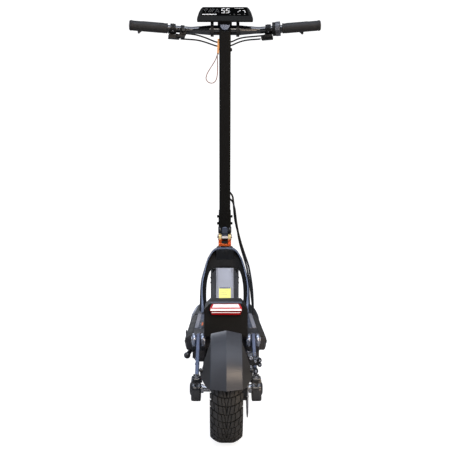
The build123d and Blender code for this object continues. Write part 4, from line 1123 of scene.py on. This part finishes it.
# Clevis: back plate with its ears, then the polished eye of each ear and the pivot bolt.
plate_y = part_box("rear_pivot_brackets")[1].y * 1000
bm = bmesh.new()
slab(bm, Vector((0, plate_y, 0)), right, upward, backward, rectangle(-88, 88, 170, 222), 0.5, 9, 1.5)
for side in (-1, 1):
    for ear in ((54.2, 65.4), (78.4, 88.6)):
        strap(bm, ear, ((rear_pivot.y, rear_pivot.z, 13), (plate_y - 5, rear_pivot.z - 14, 19)), 1.6, side)
piece("rear_clevis", bm, deck_coat, "deck", "black_frame", "rear_pivot_brackets", sharp=28)
bm = bmesh.new()
for side in (-1, 1):
    for inner, outer in ((54.0, 65.8), (78.2, 88.0)):
        barrel = [(0.0, 14.0), (0.14, 16.2), (0.4, 17.0), (0.6, 17.0), (0.86, 16.2), (1.0, 14.0)]
        turned(bm, pivot_middle, sided(side, [(inner + (outer - inner) * way, r) for way, r in barrel]), 48)
piece("rear_clevis_eyes", bm, satin_silver, "deck", "silver", sharp=40)
bm = bmesh.new()
for side in (-1, 1):
    bolt = [(53.2, 5), (88.2, 5), (88.2, 9.5), (90.4, 9.2), (90.9, 6.4), (90.9, 5.0), (89.0, 4.4)]
    turned(bm, pivot_middle, sided(side, bolt), 36)
piece("rear_pivot_bolts", bm, screw_steel, "deck", "steel", sharp=30)
dress(tread_rubber, "rear_pivot_bushes", "front_pivot_bushes")

# Arms and pods. The pod's rear: a flat land with a pinch-slot hole, above a bulged lower half. Its
# section is (back, up) from the axle; cut eases the rims, dip sinks the waist and lift drops the top.
pod_middle = 72.4
axle_y, axle_z = rear_axle.y * 1000, rear_axle.z * 1000
for side, word in ((-1, "left"), (1, "right")):
    bm = bmesh.new()
    arm_ends = ((rear_pivot.y, rear_pivot.z, 17), (axle_y + 16, axle_z + 12, 13))
    strap(bm, (67.4, 76.2), arm_ends, 1.3, side)
    piece("rear_arm_blade_" + word, bm, arm_painted_sky_reflection, "rear_suspension", "black_frame", sharp=24)
    bm = bmesh.new()
    rings = []
    for x, cut, dip in (
        (pod_in + 0.2, 1.6, 0.0), (pod_in + 2.2, 0.0, 0.0), (pod_in + 8, 0.0, 0.3), (72.6, 0.0, 3.6),
        (pod_out - 8.5, 0.0, 0.3), (pod_out - 5.5, 0.0, 0.0), (pod_out - 1.6, 1.0, 0.0),
        (pod_out - 0.2, 3.0, 0.0),
    ):
        lift = 2.5 * max(0.0, (x - 80) / 4) ** 2
        section = [
            (17, 28 - lift), (18.6, 25.5 - lift), (18.6, 15.6 - dip), (21.0, 13.4 - dip),
            (24.4, 10.6 - dip * 0.5), (26.4, 6), (27, 0), (26.6, -13), (25, -21), (20, -26), (-18, -26),
            (-24, -22), (-27, -18), (-27, 18), (-24, 25), (-18, 28),
        ]
        ring = []
        for back, up in section:
            kept = 1 - cut / hypot(back, up)
            ring.append(Vector((side * x, axle_y - back * kept, axle_z + up * kept)))
        rings.append(ring)
    skin(bm, rings, ends=True)
    # Pinch ears on top and their bolt.
    for y in (-10, 8):
        level(bm, side * pod_middle, axle_y + y, axle_z + 27, rectangle(-7.5, 7.5, -4, 4), 0, 6, 1.2)
    arm = "rear_arm_" + word
    piece("rear_pod_" + word, bm, forged_black, "rear_suspension", "black_frame", arm, sharp=34)
    bm = bmesh.new()
    hole = [(0.0, 3.3), (0.35, 3.1), (0.36, 2.0), (0.1, 1.8)]
    turned(bm, Vector((side * 72.6, axle_y - 18.7, axle_z + 20.5)), hole, 24, backward)
    piece("rear_pod_hole_" + word, bm, shadow_black, "rear_suspension", "black_frame")
    bm = bmesh.new()
    cap_screw(bm, Vector((side * pod_middle, axle_y - 14, axle_z + 30)), backward, 3.4, 3.2)
    for back, down in ((62, 38), (78, 48)):
        screw_at = Vector((side * 76.2, rear_pivot.y - back, rear_pivot.z - down))
        cap_screw(bm, screw_at, (side, 0, 0), 2.8, 2.2)
    piece("rear_arm_screws_" + word, bm, screw_steel, "rear_suspension", "steel", sharp=30)

# Axle: ground steel bar, a flanged nut with its black cap outside each pod, a spacer inside.
axle_middle = rear_axle * 1000
bm = bmesh.new()
turned(bm, axle_middle, [(-pod_out - 0.2, 7.4), (-32.5, 7.4), (32.5, 7.4), (pod_out + 0.2, 7.4)], 48)
for side in (-1, 1):
    spacer = [(pod_in - 6.2, 7.6), (pod_in - 6.2, 10.5), (pod_in - 0.1, 10.5), (pod_in - 0.1, 7.6)]
    turned(bm, axle_middle, sided(side, spacer), 36)
piece("rear_axle_bar", bm, ground_steel, "rear_suspension", "steel", "rear_axle", sharp=30)
bm = bmesh.new()
for side in (-1, 1):
    cap = [(0, 8), (0, 14.6), (1.4, 15), (2.6, 13.4), (3.4, 10), (3.4, 6)]
    turned(bm, axle_middle, sided(side, [(pod_out + x, r) for x, r in cap]), 48)
piece("rear_axle_caps", bm, cast_black, "rear_suspension", "black_plastic", sharp=30)

# --- Rear caliper -------------------------------------------------------------------------------
# Cast two-piston cable-pull caliper: two halves astride the disc, an arm with its return spring, an
# adjuster and two plated banjo screws.

# Black anodising on a casting: a cool black with a metallic glint, grey along its edges, partly machined
# metal and partly a painted edge highlight.
caliper_black = surface(
    "anodised_black_aluminium", "1b1d21", 0.26, metal=0.5, grain=0.12, grit=0.8, mottle=0.06, edge=1.0,
    wear_and_highlight="7f8796", Coat_Weight=0.3,
)


def by_axle(x, y, up):
    """A place from the rear axle's height and line, in mm."""
    return Vector((x, axle_y + y, axle_z + up))


bm = bmesh.new()
half_outline = [(10, 46), (16, 41), (44, 41), (51, 48), (51, 74), (44, 83), (18, 83), (10, 76)]
bridge = [(14, 74), (46, 74), (44, 83.4), (16, 83.4)]
cover = [(14, 55), (18, 52.4), (40, 52.4), (43, 56), (43, 68), (38, 71.6), (18, 71.6), (14, 68)]
for outline, near, far, shrink in (
    (half_outline, 53.2, 66.4, 2.2), (half_outline, 47.6, 41.4, 1.8), (bridge, 44, 60, 1.0),
    (cover, 62, 80, 2.0),
):
    along_x(bm, axle_y, axle_z, outline, near, far, shrink)
adjuster = [(-9, 3), (-9, 5.2), (-7.6, 6.2), (8, 6.2), (9.6, 5)]
turned(bm, by_axle(71.5, 6, 42), adjuster, 28, backward)
banjo = [(-12, 4), (-12, 5.2), (1, 5.2), (2.6, 4.4), (2.6, 2.4), (0.6, 2.2)]
for up in (55.4, 66.4):
    turned(bm, by_axle(81.4, 9, up), banjo, 28, backward)
piece("rear_caliper_body", bm, caliper_black, "rear_suspension", "steel", "rear_caliper", sharp=28)
bm = bmesh.new()
for x, y, up, r in (
    (60, 10, 72, 4.4), (60, 10, 50, 3.6), (71.5, 14.2, 63, 3.2), (81.4, 6.6, 55.4, 2.0),
    (81.4, 6.6, 66.4, 2.0), (71.5, -3.2, 42, 3.0),
):
    cap_screw(bm, by_axle(x, y, up), backward, r, 2.4)
for n in range(6):
    # Return spring on the arm's spindle, and its hook.
    turned(bm, by_axle(75.5 + 1.5 * n, 27, 62), [(-0.55, 6.4), (-0.55, 7.6), (0.55, 7.6), (0.55, 6.4)], 28)
slab(bm, by_axle(70.5, 30, 71), forward, right, upward, rectangle(-2, 2, -1.2, 1.2), 0, 12.6, 0.4)
piece("rear_caliper_hardware", bm, satin_silver, "rear_suspension", "steel", sharp=30)

# --- Fork and front suspension ------------------------------------------------------------------
# Forged aluminium steerer with a crown plate and two legs; leading links on rubber bushes carry
# the axle. The left link holds a second caliper.

dress(forged_black, "fork_legs", "front_arms")
dress(ground_steel, "front_axle")
dress(caliper_black, "front_caliper")
leg_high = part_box("fork_legs")[1] * 1000
front_pivot = Vector(joints["front_suspension_pivot"]["pos_m"]) * 1000
link_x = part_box("front_arms")[1].x * 1000
# Outer face of each leg: the legs' box also takes in the pivot bushes.
fork_side = 49
bm = bmesh.new()
for side in (-1, 1):
    cap_screw(bm, Vector((side * leg_high.x, front_pivot.y, front_pivot.z)), (side, 0, 0), 8.0, 5.0)
    for down in (20, 38):
        cap_screw(bm, Vector((side * (fork_side - 0.4), 386, leg_high.z - down)), (side, 0, 0), 3.0, 2.6)
piece("fork_screws", bm, screw_steel, "steering", "steel", sharp=30)
bm = bmesh.new()
for side in (-1, 1):
    nut = [(0, 7), (0, 14), (2.2, 14), (3.0, 12.4), (3.0, 8), (7.5, 7.4), (8.5, 5)]
    nut_at = Vector((side * link_x, front_axle.y * 1000, front_axle.z * 1000))
    turned(bm, nut_at, sided(side, nut), 36)
piece("front_axle_nuts", bm, screw_steel, "front_suspension", "steel", sharp=30)
bm = bmesh.new()
cal_low, cal_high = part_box("front_caliper")
for way in (0.3, 0.7):
    screw_y = (cal_low.y + (cal_high.y - cal_low.y) * way) * 1000
    cap_screw(bm, Vector((cal_low.x * 1000, screw_y, (cal_low.z + cal_high.z) * 500)), (-1, 0, 0), 3.0, 2.4)
piece("front_caliper_screws", bm, satin_silver, "front_suspension", "steel", sharp=30)

# --- Hinge --------------------------------------------------------------------------------------
# Forged fork yoke with a bright orange coat, a hardened steel pin across it, and a quick lever in
# front that drops its claw on the foot.

# Orange anodising: a hot metallic orange, with a painted highlight of pale gold along its edges.
orange_coat = surface(
    "orange_anodised_aluminium", "ef6a2c", 0.24, metal=0.55, grain=0.1, grit=0.8, mottle=0.06, edge=1.4,
    wear_and_highlight="ffd9a0", Coat_Weight=0.35,
)
# Painted highlight: the ears' turned faces are painted pale cream, for the light they catch on orange
# anodising.
orange_painted_highlight = surface(
    "orange_anodised_painted_highlight", "ffecb0", 0.36, metal=0.25, grain=0.06, grit=0.8, mottle=0.05, edge=1.0
)
# Painted glint: the pad under the tongue is painted near white, standing in for a glint on polished steel.
pad_painted_glint = surface(
    "steel_pad_painted_glint", "f6f8fc", 0.3, metal=0.1, grain=0.05, grit=0.6, mottle=0.03, edge=0.6
)

dress(orange_coat, "hinge_base")
dress(cast_black, "latch_lever")


def on_stem(bm, outline, near, far, shrink):
    """A slab on the back of the hinge, in line with the stem: outline in (x, along the stem)."""
    return slab(bm, hinge, right, steer_axis, -steer_forward, outline, near, far, shrink)


pin_end = [(-26, 3.0), (-25.8, 6.4), (-22.4, 6.8), (-22.2, 5.9), (-10, 5.9), (-9.6, 6.4)]
bm = bmesh.new()
turned(bm, hinge, pin_end + [(-x, r) for x, r in reversed(pin_end)], 40)
piece("hinge_roller", bm, ground_steel, "steering", "steel", "hinge_pin", sharp=30)
bm = bmesh.new()
for side in (-1, 1):
    turned(bm, hinge, sided(side, [(11.4, 13.0), (12.4, 15.0), (20.6, 15.0), (21.8, 13.4)]), 48)
piece("hinge_eyes", bm, orange_painted_highlight, "steering", "orange_metal", sharp=30)
bm = bmesh.new()
# The bump stop is flat black as painted shade, filling the gap under the tongue.
slab(bm, hinge + Vector((0, -1, -20.8)), right, upward, backward, rectangle(-10.4, 10.4, -5, 5), -8, 9, 1.0)
piece("hinge_bump_stop", bm, shadow_black, "steering", "rubber", sharp=30)
bm = bmesh.new()
turned(bm, hinge, [(-10.9, 12.4), (-10.4, 13.4), (10.4, 13.4), (10.9, 12.4)], 64)
piece("stem_eye_sleeve", bm, forged_black, "stem", "black_frame", sharp=40)
bm = bmesh.new()
on_stem(bm, rectangle(-10.6, 10.6, -3.6, 4.6), 8, 14.0, 0.8)
piece("stem_painted_glint_pad", bm, pad_painted_glint, "stem", "steel", sharp=40)

# --- Stem ---------------------------------------------------------------------------------------
# Welded oblong aluminium tube, matt black, pressed into a cast foot whose tongue turns on the pin;
# two cross screws lock it. Shallow knuckles flank the tongue, under a cover plate coloured slate blue as a
# painted highlight.

# Matt powder coat: an even soot black, with hardly a highlight down the whole tube.
stem_coat = surface(
    "matt_black_powder_coat", "0d0d0c", 0.5, grain=0.05, grit=1.0, mottle=0.08, edge=1.6,
    Specular_IOR_Level=0.13
)
dress(stem_coat, "stem_tube", "stem_foot")
bm = bmesh.new()
for side in (-1, 1):
    knuckle = [(11.6, 9), (12.2, 11.6), (14, 12.6), (20, 12.6), (22.2, 11.4), (23, 8.6)]
    turned(bm, hinge - steer_forward * 13.4 + steer_axis * 27, sided(side, knuckle), 48)
piece("stem_knuckles", bm, graphite_coat, "stem", "black_frame", sharp=40)
bm = bmesh.new()
plate = [(-10, 17.5), (10, 17.5), (10, 34), (8, 38), (4, 39.6), (-4, 39.6), (-8, 38), (-10, 34)]
on_stem(bm, plate, 18, 26.6, 1.2)
on_stem(bm, rectangle(-10, 10, 4.6, 18), 8, 15, 0.6)
piece("stem_tongue_plate", bm, graphite_painted_highlight, "stem", "black_frame", sharp=30)

# Headlight: moulded shell on the stem's front with a stepped bezel, a clear lens and its reflector.
lamp_low, lamp_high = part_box("headlight")
lamp_at = Vector((0, lamp_low.y * 1000, (lamp_low.z + lamp_high.z) * 500))
deep = (lamp_high.y - lamp_low.y) * 1000
half_w, half_z = lamp_high.x * 1000, (lamp_high.z - lamp_low.z) * 500
shell = [
    (-half_w, -half_z + 6), (-half_w + 5, -half_z), (half_w - 5, -half_z), (half_w, -half_z + 6),
    (half_w, half_z - 6), (half_w - 5, half_z), (-half_w + 5, half_z), (-half_w, half_z - 6),
]
bm = bmesh.new()
slab(bm, lamp_at, right, upward, forward, shell, 0, deep - 4, 1.2)
for n in range(4):
    # Cooling fins on the shell's top.
    level(bm, *(lamp_at + Vector((0, 4 + 5 * n, half_z - 2))), rectangle(-13, 13, -1, 1), 0, 2.0, 0.4)
bezel = [(0, 15.4), (4, 15.4), (4.8, 14.6), (4.8, 13.2), (2.2, 12.8)]
turned(bm, lamp_at + Vector((0, deep - 5, 0)), bezel, 48, forward)
piece("headlight_shell", bm, cast_black, "stem", "black_plastic", "headlight", sharp=28)
bm = bmesh.new()
turned(bm, lamp_at + Vector((0, deep - 3, 0)), [(0, 12.8), (1.2, 12.8), (2.6, 9), (3.0, 4)], 48, forward)
piece("headlight_lens", bm, clear_lens, "stem", "white_lens", sharp=40)

# Top of the stem: a slanted shield on the rear face coloured slate blue as a painted highlight, a cap under
# the display, and a grommet.
shield = [(8.4, 1.6), (13.4, 6), (16, 12), (16.4, 18)]
shield = [(-x, up) for x, up in reversed(shield)] + [(0, -0.6)] + shield
bm = bmesh.new()
slab(bm, Vector((0, 166, 1156)), right, upward, backward, shield, -6, 8.4, 1.4)
piece("stem_shield", bm, graphite_painted_highlight, "stem", "black_frame", sharp=28)
bm = bmesh.new()
level(bm, 0, 180, 1174.6, rectangle(-24, 22.5, -20, 18), -2, 9, 1.4)
piece("stem_cap", bm, cast_black, "stem", "black_plastic", sharp=28)
bm = bmesh.new()
turned(bm, Vector((18.6, 196, 1100)), [(0, 6.4), (1.8, 6.4), (2.4, 5.2), (4.6, 4.8), (5.2, 3.6)], 28)
piece("stem_grommet", bm, tread_rubber, "stem", "rubber", sharp=40)

# --- Lanyard tab --------------------------------------------------------------------------------
# Orange webbing folded double round the cord's ends and sewn with bars of thread. It hangs down the
# stem's left side.

# Woven webbing: a dull, slightly furry orange, coarse enough to see its ribs.
webbing = surface(
    "orange_woven_webbing", "d99a5c", 0.6, grain=0.9, grit=1.4, mottle=0.12, edge=0.3,
    Specular_IOR_Level=0.3
)
tab_low, tab_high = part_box("lanyard_tab")
bm = bmesh.new()
rings = []
for step in range(13):
    # From top to foot the tab leans out and thins, with a ripple where the thread pulls it in.
    way = step / 12
    z = tab_high.z * 1000 + (tab_low.z - tab_high.z) * 1000 * way
    y = tab_low.y * 1000 + 7 + (1 - way) * 1.0
    out = -17.2 - 3.0 * way
    thick = 7.0 - 1.2 * way + 0.4 * cos(way * 40)
    section = [(0, -7.5), (-thick, -6.8), (-thick, 11.2), (0, 12)]
    rings.append([Vector((out + dx, y + dy, z)) for dx, dy in section])
skin(bm, rings, ends=True)
piece("lanyard_webbing", bm, webbing, "stem", "webbing", "lanyard_tab", sharp=50)

# --- Display ------------------------------------------------------------------------------------
# Moulded ABS case tilted back on two bar clamps, thin lower edge and a bonded glass. Plain pale
# segments are lit behind the glass.

# Case ABS: soot black without a highlight. Cover glass: blacker still, so that it reads as off.
case_abs = surface(
    "moulded_abs_display_case", "11110f", 0.6, grain=0.3, grit=0.7, mottle=0.06, edge=1.6,
    Specular_IOR_Level=0.12
)
cover_glass = surface(
    "tinted_cover_glass", "010101", 0.3, grain=0.02, grit=2.0, mottle=0.1, edge=0.3, Specular_IOR_Level=0.01
)
# Lit segments: pale grey digits and dim grey marks, each with a faint glow of its own.
pale_segment = surface(
    "pale_lit_segment", "c9c9c6", 0.6, grain=0.02, grit=1.0, mottle=0.05, edge=0.02,
    Emission_Color=rgb("c9c9c6"), Emission_Strength=0.25,
)
dim_segment = surface(
    "dim_lit_segment", "6a6a68", 0.6, grain=0.02, grit=1.0, mottle=0.05, edge=0.02,
    Emission_Color=rgb("6a6a68"), Emission_Strength=0.1,
)
dress(case_abs, "display_housing")
dress(cover_glass, "display_glass")
dress(cover_abs, "display_clamps")

face_foot = Vector((0, 137, 1180))
tilt = radians(47)
up_face, off_face = Vector((0, cos(tilt), sin(tilt))), Vector((0, -sin(tilt), cos(tilt)))
glass = nodes["display_glass"]
glass_corners = [glass.matrix_world @ corner.co * 1000 for corner in glass.data.vertices]
glass_top = max((corner - face_foot).dot(off_face) for corner in glass_corners)


def stroke(bm, a, b, wide):
    """A lit bar between two (right, up) places on the glass."""
    run = Vector((b[0] - a[0], b[1] - a[1])).normalized()
    across = Vector((-run.y, run.x)) * wide / 2
    outline = [
        (a[0] - across.x, a[1] - across.y), (b[0] - across.x, b[1] - across.y),
        (b[0] + across.x, b[1] + across.y), (a[0] + across.x, a[1] + across.y),
    ]
    slab(bm, face_foot, right, up_face, off_face, outline, glass_top - 0.05, glass_top + 0.12, 0.02)


# Two seven-segment fives that lean to the right, in shares of a digit's width and height.
digit_wide, digit_tall, digit_foot, digit_slant = 9.5, 25.5, 46.5, 3.2
five = [((0, 1), (1, 1)), ((0, 1), (0, 0.52)), ((0, 0.5), (1, 0.5)), ((1, 0.48), (1, 0)), ((1, 0), (0, 0))]
bm = bmesh.new()
for left in (-12.4, 2.6):
    for stretch in five:
        a, b = [(left + u * digit_wide + v * digit_slant, digit_foot + v * digit_tall) for u, v in stretch]
        stroke(bm, a, b, 2.9)
stroke(bm, (-73.5, 37.6), (-27.5, 37.6), 4.6)
for n in range(6):
    stroke(bm, (31.5 + 5 * n, 73.6), (34.5 + 5 * n, 73.6), 2.2)
for a, b, wide in (
    ((46, 60), (52, 60), 3.0), ((41, 51), (45, 55), 2.4), ((58, 61), (64, 61), 2.4),
    ((64, 61), (66, 47), 2.6),
):
    stroke(bm, a, b, wide)
piece("display_segments", bm, pale_segment, "stem", "gloss_black")
bm = bmesh.new()
for row, v in enumerate((69, 62, 53)):
    for n in range(9):
        # Every fourth mark is left out, so that each row reads as a few short words of plain dashes.
        start = -70 + n * 5.4 + 2.4 * row
        if (n + row) % 4 != 3:
            stroke(bm, (start, v), (start + 3.0, v + (1.4 if n % 2 else -1.0)), 2.0)
for start in (15, 29, 41, 47, 62):
    stroke(bm, (start, 37), (start + 3.2, 37), 2.2)
piece("display_icons", bm, dim_segment, "stem", "gloss_black")
bm = bmesh.new()
for x in (-42, 42):
    cap_screw(bm, Vector((x, 176, 1141.5)), (0, 0, -1), 3.0, 2.4)
for n in range(5):
    # Ribs under the case.
    level(bm, -18 + 9 * n, 172, 1181.6, rectangle(-2.4, 2.4, -6, 6), 0, 7, 0.6)
piece("display_mounts", bm, cast_black, "stem", "black_plastic", sharp=28)

# --- Handlebar and grips ------------------------------------------------------------------------
# Butted aluminium bar, glossy black, swept back and up. Each grip is moulded rubber with a palm
# panel cut on the slant, an end flange, and a grey bar-end plug.

# Gloss anodising: a hard bright line of sky along a black bar.
bar_gloss = surface(
    "gloss_black_anodised", "0d0e11", 0.16, metal=0.2, grain=0.03, grit=1.0, mottle=0.04, edge=0.6,
    Coat_Weight=0.8, Specular_IOR_Level=0.7,
)
# Grip rubber: soft dark grey with no shine. Plug rubber: a dull mid grey at the bar's ends.
grip_rubber = surface(
    "moulded_grip_rubber", "212121", 0.62, grain=0.6, grit=0.9, mottle=0.1, edge=0.6,
    Specular_IOR_Level=0.35
)
plug_grey = surface("grey_plug_rubber", "7a7a7a", 0.55, grain=0.3, grit=1.0, mottle=0.08, edge=0.6)
dress(bar_gloss, "handlebar")

backsweep, upsweep = radians(9), radians(2.4)
bend_x, bend_y, bend_z = 115, 182.757, 1160.99


def bar_frame(side):
    """The bar's bend on a side: its place, and its forward, upward and outward directions."""
    outward = Vector((side * cos(backsweep) * cos(upsweep), -sin(backsweep) * cos(upsweep), sin(upsweep)))
    ahead = Vector((side * sin(backsweep), cos(backsweep), 0))
    above = outward.cross(ahead) if side > 0 else ahead.cross(outward)
    return Vector((side * bend_x, bend_y, bend_z)), ahead, above, outward


grip_start, grip_length = 73.6, 121.6
grip_radius, flange_radius, panel_proud = 15.7, 16.8, 0.7

for side, word in ((-1, "left"), (1, "right")):
    place, ahead, above, outward = bar_frame(side)
    bm = bmesh.new()
    rings = []
    for step in range(62):
        along = grip_start + grip_length * (step / 61)
        ring = []
        for k in range(72):
            turn = tau * k / 72
            r = grip_radius
            # The palm panel stands proud and ends on a slant towards the outer end.
            fade_out = min(1.0, max(0.0, (172 - 15 * cos(turn) - along) / 1.4))
            fade_in = min(1.0, max(0.0, (along - 82 - 3 * cos(turn)) / 1.4))
            r += panel_proud * fade_out * fade_in
            if along < 77 or along > 189:
                r = flange_radius
            if step in (0, 61):
                r -= 0.9
            ring.append(place + r * sin(turn) * ahead + r * cos(turn) * above + along * outward)
        rings.append(ring)
    skin(bm, rings, ends=True)
    piece("grip_sleeve_" + word, bm, grip_rubber, "stem", "rubber", "grip_" + word, sharp=40)
    bm = bmesh.new()
    plug = [(0, 15.4), (1.6, 15.2), (2.2, 14.2), (2.2, 6), (1.4, 5)]
    turned(bm, place + outward * 195, plug, 48, outward)
    piece("bar_plug_" + word, bm, plug_grey, "stem", "rubber", sharp=30)

# --- Levers, throttle and switches --------------------------------------------------------------
# Cast perches clamped on the bar with forged levers, a ribbed thumb-throttle ring inside the right
# grip, and a moulded switch pod with a rubber button inside the left one.

# Anodised casting: a plain soft black. Moulded nylon: a mid grey ring with a light sheen.
perch_black = surface(
    "black_anodised_casting", "0b0b0c", 0.42, grain=0.15, grit=0.8, mottle=0.08, edge=0.8,
    Specular_IOR_Level=0.2
)
ring_grey = surface(
    "moulded_nylon_grey", "42444a", 0.34, grain=0.15, grit=0.8, mottle=0.05, edge=0.8, Coat_Weight=0.2
)
dress(perch_black, "lever_perches", "throttle_body")
dress(ring_grey, "thumb_throttle")
dress(tread_rubber, "horn_button")

# Lever: a flat forged blade curling forward from its boss to a dropped ball tip. Each station is
# outward from the boss, ahead and above the bar, and half its depth and height.
blade = [
    (0, 24, -4, 7, 6), (9, 30, -1, 6, 6), (22, 39, 1, 4.2, 6), (50, 42.5, 2.5, 3.9, 5.6),
    (82, 45.5, 3.5, 3.9, 5.4), (94, 46.5, 2, 3.9, 5.2), (102, 47, -2, 3.9, 5), (107, 47, -7.5, 4.2, 5),
    (108, 47, -12.5, 2.4, 3),
]
for side, word, start in ((-1, "left", 57), (1, "right", 28)):
    place, ahead, above, outward = bar_frame(side)
    bm = bmesh.new()
    rings = []
    for n, (z, x, y, half_x, half_y) in enumerate(blade):
        after = blade[min(n + 1, len(blade) - 1)]
        before = blade[max(n - 1, 0)]
        step_out, step_ahead, step_up = (after[i] - before[i] for i in range(3))
        run = (outward * step_out + ahead * step_ahead + above * step_up).normalized()
        tall = ahead.cross(run).normalized() * -side
        heart = place + outward * (start + z) + ahead * x + above * y
        turns = [tau * k / 20 for k in range(20)]
        rings.append([heart + ahead * half_x * sin(turn) + tall * half_y * cos(turn) for turn in turns])
    skin(bm, rings, ends=True)
    lever = "brake_lever_" + word
    piece("brake_blade_" + word, bm, forged_black, lever, "black_frame", lever, sharp=50)

# Switch housing: a slim clamp band with its block tucked under the bar's rear.
place, ahead, above, outward = bar_frame(-1)
bm = bmesh.new()
turned(bm, place, [(18, 11.6), (18, 13.6), (19, 14.2), (29, 14.2), (30, 13.6), (30, 11.6)], 48, outward)
block = [(13, -19), (32, -19), (34, -16), (34, -3), (31, 0.5), (15, 0.5), (12, -3), (12, -16)]
slab(bm, place, outward, above, -ahead, block, -4, 15.2, 1.4)
# A raised collar guards the button, which sinks into it.
button_low, button_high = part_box("horn_button")
button = (button_low + button_high) * 500
rings = []
for along, r in ((-7.5, 5.9), (-1.2, 5.9), (-1.2, 7.2), (-7.5, 8.0)):
    turns = [tau * k / 32 for k in range(32)]
    rings.append([button - ahead * along + r * (outward * cos(turn) + above * sin(turn)) for turn in turns])
skin(bm, rings, wrap=True)
piece("switch_housing", bm, perch_black, "stem", "black_plastic", "switch_pod", sharp=28)

# Throttle ring: eighteen grip ribs round it.
place, ahead, above, outward = bar_frame(1)
bm = bmesh.new()
rings = []
for along, proud in ((52.4, -1.2), (53.4, 0.0), (65.2, 0.0), (66.4, -1.2)):
    ring = []
    for k in range(144):
        turn = tau * k / 144
        r = 22.5 + proud + (0.75 if k % 8 < 4 else 0.0)
        ring.append(place + outward * along + r * (ahead * sin(turn) + above * cos(turn)))
    rings.append(ring)
skin(bm, rings, ends=True)
piece("throttle_ring_ribs", bm, ring_grey, "thumb_throttle", "silver", sharp=30)

# Clamp screws of each perch and its adjuster barrel.
barrel = [(0, 3.2), (0, 4.4), (-6, 4.4), (-7, 3.4), (-12, 3.2)]
bm = bmesh.new()
for side, at in ((-1, 56.7), (1, 28)):
    place, ahead, above, outward = bar_frame(side)
    for lift in (-1, 1):
        cap_screw(bm, place + outward * at - ahead * 14.2 + above * lift * 11, -ahead, 2.6, 2.6)
    turned(bm, place + outward * (at - 12.5) + ahead * 20.4 - above * 14, barrel, 24, outward)
piece("perch_hardware", bm, forged_black, "stem", "steel", sharp=30)

# Brake-light switches: a small moulded box under each perch.
bm = bmesh.new()
for side, at in ((-1, 28), (1, 24)):
    place, ahead, above, outward = bar_frame(side)
    box_at = place + outward * at - ahead * 2 - above * 22
    slab(bm, box_at, outward, above, -ahead, rectangle(-12, 14.5, -5.4, 4), -9, 11, 1.2)
piece("brake_light_switches", bm, perch_black, "stem", "black_plastic", sharp=30)
